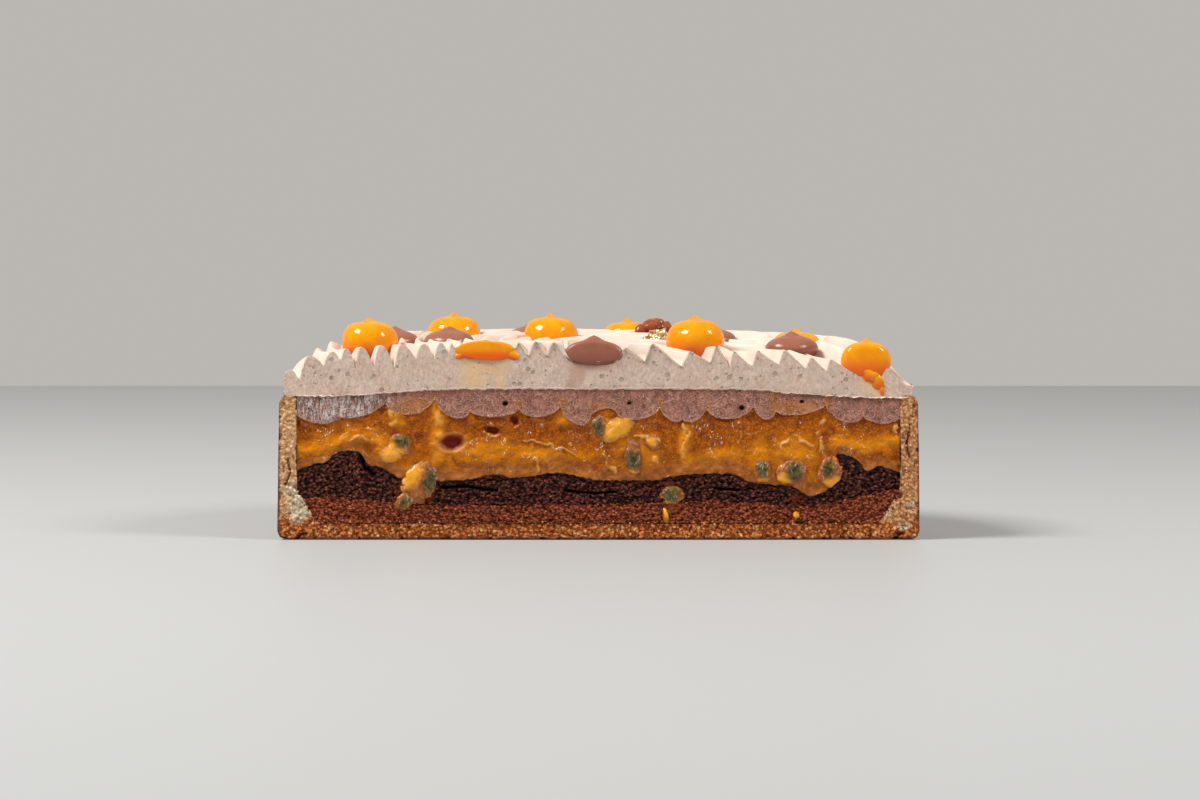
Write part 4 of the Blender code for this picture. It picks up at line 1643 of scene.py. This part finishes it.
class Fillings:
    """The four layers inside the shell, which share their borders."""

    def __init__(self) -> None:
        """Chooses each layer's look."""
        self.almond = AlmondLook()
        self.brownie = BrownieLook()
        self.rope = GanacheRope()
        self.jelly = JellyLook(self.brownie.top)
        self.ganache = GanacheLook(self.rope)
        self.ceiling = Cream.bottom

    def build(self) -> list[bpy.types.Object]:
        """Makes the layers from the base up.

        Returns:
            The finished pieces.
        """
        almond = CrumbFinish(
            "almond_crumb", paint(240, 162, 116), paint(192, 100, 60), paint(110, 40, 12),
            paint(160, 74, 12), 0.75)
        brownie = CrumbFinish(
            "brownie_crumb", paint(206, 134, 112), paint(126, 60, 44), paint(30, 5, 2),
            paint(110, 44, 10), 0.85)
        layers = (
            Layer("almond_layer", "almond_layer", Slot.ALMOND, self.almond.bottom, self.almond.top,
                  self.almond.relief, self.almond.paint, almond.make(), rows=26),
            Layer("brownie_layer", "brownie_layer", Slot.BROWNIE, self.almond.top, self.brownie.top,
                  self.brownie.relief, self.brownie.paint, brownie.make(), rows=40),
            Layer("fruit_jelly", "fruit_layer", Slot.FRUIT, self.brownie.top, self.rope,
                  self.jelly.relief, self.jelly.paint, JellyFinish().make(), rows=68),
            Layer("ganache_rope", "ganache_layer", Slot.GANACHE, self.rope, self.ceiling,
                  self.ganache.relief, self.ganache.paint, GanacheFinish().make(), rows=28),
        )
        return [layer.build() for layer in layers]


class Toppings:
    """What lies on the cream, and the seeds and pulp that show in the jelly."""

    mango = DotForm("mango_dot", Slot.MANGO, 0.72, 0.76, 0.17, 0.11, 0.58)
    chocolate = DotForm("chocolate_dot", Slot.CHOCOLATE, 0.48, 0.36, 0.17, 0.24, 0.80)
    mango_dots = (
        Dot(-55.5, 9, 6.9, 47.4, -0.05), Dot(-36.5, 40.5, 6.9, 47.6, -0.04),
        Dot(-11.8, 30, 6.9, 47.7, -0.05),
        Dot(7.4, 62, 6.4, 45.8), Dot(23.6, 9.2, 7.2, 47.5, -0.04), Dot(64.6, 3.6, 6.0, 43.2, 0.02),
        Dot(-27.3, 0.6, 7.0, 45.7, 0.0, 1.0, 0.44), Dot(49.3, 30.5, 6.4, 44.5, -0.03),
    )
    chocolate_dots = (
        Dot(-50.6, 27, 6.2, 46.6), Dot(-36.8, 21.5, 6.3, 46.8), Dot(-17.2, 50.5, 6.2, 46.8),
        Dot(-1.1, 1.8, 7.2, 44.6), Dot(28.4, 30.5, 6.2, 46.8), Dot(47.2, 14.6, 6.5, 45.6),
        Dot(24.6, 51.5, 6.2, 46.6),
    )
    nut = (
        Lump(13.6, 49.4, 47.5, (2.9, 2.7, 2.4), 10, 0.16),
        Lump(16.8, 49.0, 48.2, (2.2, 2.2, 2.1), 0, 0.2),
        Lump(11.0, 48.6, 47.0, (1.8, 2.0, 1.9), 0, 0.2), Lump(15.0, 50.6, 48.4, (1.7, 1.5, 1.3), 0, 0.2),
    )
    sacs = (
        Sac(
            Spot(-47.9, 22.9, 6.0, 5.4, 20), Spot(-47.4, 23.8, 3.9, 3.0, 10),
            Spot(-49.6, 21.2, 5.4, 4.6, 30)
        ),
        Sac(
            Spot(-43.4, 13.6, 11.0, 8.4, 62), Spot(-40.6, 14.2, 3.4, 5.6, -14),
            Spot(-45.4, 15.6, 4.2, 7.0, -36)
        ),
        Sac(
            Spot(-46.8, 9.4, 5.4, 4.0, 40), Spot(-46.6, 9.2, 3.2, 2.2, 40), Spot(-44.6, 12.0, 2.6, 2.6, 0)
        ),
        Sac(Spot(8.4, 20.0, 4.6, 8.8, 6), Spot(8.5, 19.2, 3.9, 4.6, 4), Spot(8.2, 16.2, 2.6, 1.4, 0)),
        Sac(Spot(17.7, 10.8, 6.0, 5.0, 0), Spot(17.4, 11.0, 4.4, 3.8, 0), Spot(16.0, 9.6, 3.0, 2.6, 0)),
        Sac(Spot(39.6, 16.4, 4.4, 6.0, 0), Spot(39.6, 17.0, 3.2, 4.2, 0), Spot(39.7, 14.2, 3.0, 1.8, 0)),
        Sac(
            Spot(46.6, 16.2, 7.4, 6.2, 10), Spot(47.4, 16.5, 4.6, 4.8, 0), Spot(44.8, 14.6, 3.4, 2.6, -40)
        ),
        Sac(
            Spot(55.8, 16.4, 5.8, 7.6, -12), Spot(55.2, 17.2, 2.6, 4.4, -12),
            Spot(56.8, 13.8, 4.4, 2.8, 0)
        ),
        Sac(Spot(0.0, 27.4, 3.6, 5.4, 0), Spot(-0.2, 27.4, 2.6, 4.4, 0), Spot(2.4, 25.6, 2.0, 2.0, 0)),
    )
    pulp = (
        Sac(Spot(4.6, 26.8, 9.0, 5.2, 34), None, Spot(4.4, 26.4, 8.0, 4.4, 34)),
        Sac(Spot(-50.0, 20.8, 6.0, 4.6, 20), None, Spot(-50.0, 20.8, 5.0, 3.6, 20)),
        Sac(Spot(16.2, 5.8, 1.6, 4.2, 10), None, Spot(16.2, 6.6, 1.0, 2.6, 10)),
        Sac(Spot(47.7, 6.0, 1.8, 2.2, 0), None, Spot(47.7, 6.0, 1.6, 1.8, 0)),
        Sac(Spot(13.0, 23.6, 5.0, 4.0, -30), None, Spot(13.0, 23.6, 2.6, 2.0, -30)),
    )
    mango_drips = (
        Lump(65.6, 39.6, 0.7, (2.6, 0.7, 1.7), -30, 0.2), Lump(67.2, 38.1, 0.7, (1.5, 0.6, 2.1), 20, 0.2),
        Lump(68.2, 36.3, 0.7, (0.7, 0.5, 1.6), 10, 0.2),
        Lump(-20.8, 44.6, 0.6, (1.9, 0.6, 1.2), -30, 0.25),
        Lump(-33.2, 44.6, 0.6, (1.6, 0.5, 0.9), 25, 0.25),
    )

    def build(self) -> list[bpy.types.Object]:
        """Makes the toppings.

        Returns:
            The finished pieces.
        """
        mango = GlossFinish("mango_gel", paint(255, 170, 0), paint(242, 100, 0), 0.12, 0.25).make()
        chocolate = GlossFinish(
            "chocolate_gel", paint(166, 104, 82), paint(132, 76, 58), 0.26, 0.1
        ).make()
        caramel = GlossFinish("candied_nut", paint(168, 84, 46), paint(84, 24, 4), 0.14, 0.05).make()
        sac = SacFinish().make()
        made = DotRow(self.mango, self.mango_dots, mango).build()
        made += DotRow(self.chocolate, self.chocolate_dots, chocolate).build()
        made.append(Lumps("candied_nut", self.nut, Slot.NUT, caramel, ("candied_nut",)).build())
        made.append(SeedSacs("seed_sacs", self.sacs, Slot.SEED, sac).build())
        made.append(SeedSacs("pulp", self.pulp, Slot.FRUIT, sac).build())
        made.append(Lumps("mango_drips", self.mango_drips, Slot.MANGO, mango).build())
        made.append(GoldLeaf(LeafFinish().make()).build())
        return made


@dataclass
class Softbox:
    """A square area light aimed at the tart."""

    name: str
    place: Vector
    size: float
    power: float

    def build(self) -> None:
        """Makes the light."""
        light = bpy.data.lights.new(self.name, "AREA")
        light.size = self.size
        light.energy = self.power
        lamp = bpy.data.objects.new(self.name, light)
        bpy.context.scene.collection.objects.link(lamp)
        lamp.location = self.place
        lamp.rotation_euler = (TART.at(0, 35, 30) - self.place).to_track_quat("-Z", "Y").to_euler()


@dataclass
class Stage:
    """The table, the wall behind it, two softboxes and the camera."""

    table: Colour = paint(192, 192, 190)
    wall: Colour = paint(186, 183, 178)
    table_ends: float = 0.697
    wall_behind: float = 2.2
    camera_back: float = 0.801
    camera_height: float = 0.080
    camera_tilt: float = 3.3
    lens: float = 100.0

    def build(self) -> None:
        """Makes the stage."""
        floor = self._plane("table", 3.0, (self.table_ends + 1.2) / 2)
        floor.location = (0.0, TART.cut * MM + (self.table_ends - 1.2) / 2, 0.0)
        floor.data.materials.append(StageFinish("table_top", self.table, 0.45).make())
        back = self._plane("wall", 3.0, 2.0)
        back.location = (0.0, TART.cut * MM + self.wall_behind, 0.0)
        back.rotation_euler = (math.radians(90), 0.0, 0.0)
        back.data.materials.append(self._wall_finish())
        self._lights()
        self._camera()

    def _plane(self, name: str, half_x: float, half_y: float) -> bpy.types.Object:
        """A flat rectangle of the stage."""
        bm = bmesh.new()
        bmesh.ops.create_grid(bm, x_segments=1, y_segments=1, size=1.0)
        bmesh.ops.scale(bm, vec=(half_x, half_y, 1.0), verts=bm.verts)
        mesh = bpy.data.meshes.new(name)
        bm.to_mesh(mesh)
        bm.free()
        plane = bpy.data.objects.new(name, mesh)
        bpy.context.scene.collection.objects.link(plane)
        return plane

    def _wall_finish(self) -> bpy.types.Material:
        """The wall shows its plain colour to the camera whatever the light."""
        recipe = Recipe("wall_paint", 0.9)
        recipe.set(Base_Color=(0.0, 0.0, 0.0, 1.0), Specular_IOR_Level=0.0)
        recipe.set(Emission_Color=(*self.wall, 1.0), Emission_Strength=1.0)
        return recipe.material

    def _lights(self) -> None:
        """A large key from the left front, a weaker fill from the right, and an even surround."""
        world = bpy.data.worlds.new("studio")
        bpy.context.scene.world = world
        world.use_nodes = True
        surround = world.node_tree.nodes["Background"].inputs
        surround["Color"].default_value = (1.0, 1.0, 1.0, 1.0)
        surround["Strength"].default_value = 0.26
        Softbox("key", Vector((-0.62, TART.cut * MM - 0.22, 0.80)), 0.34, 10.6).build()
        Softbox("fill", Vector((0.70, TART.cut * MM - 0.30, 0.62)), 0.26, 4.6).build()

    def _camera(self) -> None:
        """A long lens just above the tart's height."""
        scene = bpy.context.scene
        lens = bpy.data.cameras.new("camera")
        lens.lens = self.lens
        lens.sensor_width = 36.0
        camera = bpy.data.objects.new("camera", lens)
        scene.collection.objects.link(camera)
        camera.location = (0.00036, TART.cut * MM - self.camera_back, self.camera_height)
        camera.rotation_euler = (math.radians(90 - self.camera_tilt), 0.0, 0.0)
        scene.camera = camera
        scene.view_settings.view_transform = "Standard"


def main() -> None:
    """Builds the tart, then the stage."""
    logging.basicConfig(level=logging.INFO, format="%(message)s")
    pastry = PastryFinish().make()
    PastryCase(pastry).build()
    Fillings().build()
    Cream(CreamFinish().make(), Toppings.mango_dots + Toppings.chocolate_dots).build()
    Toppings().build()
    CrumbGrains(pastry).build()
    Stage().build()


if __name__ == "__main__":
    main()
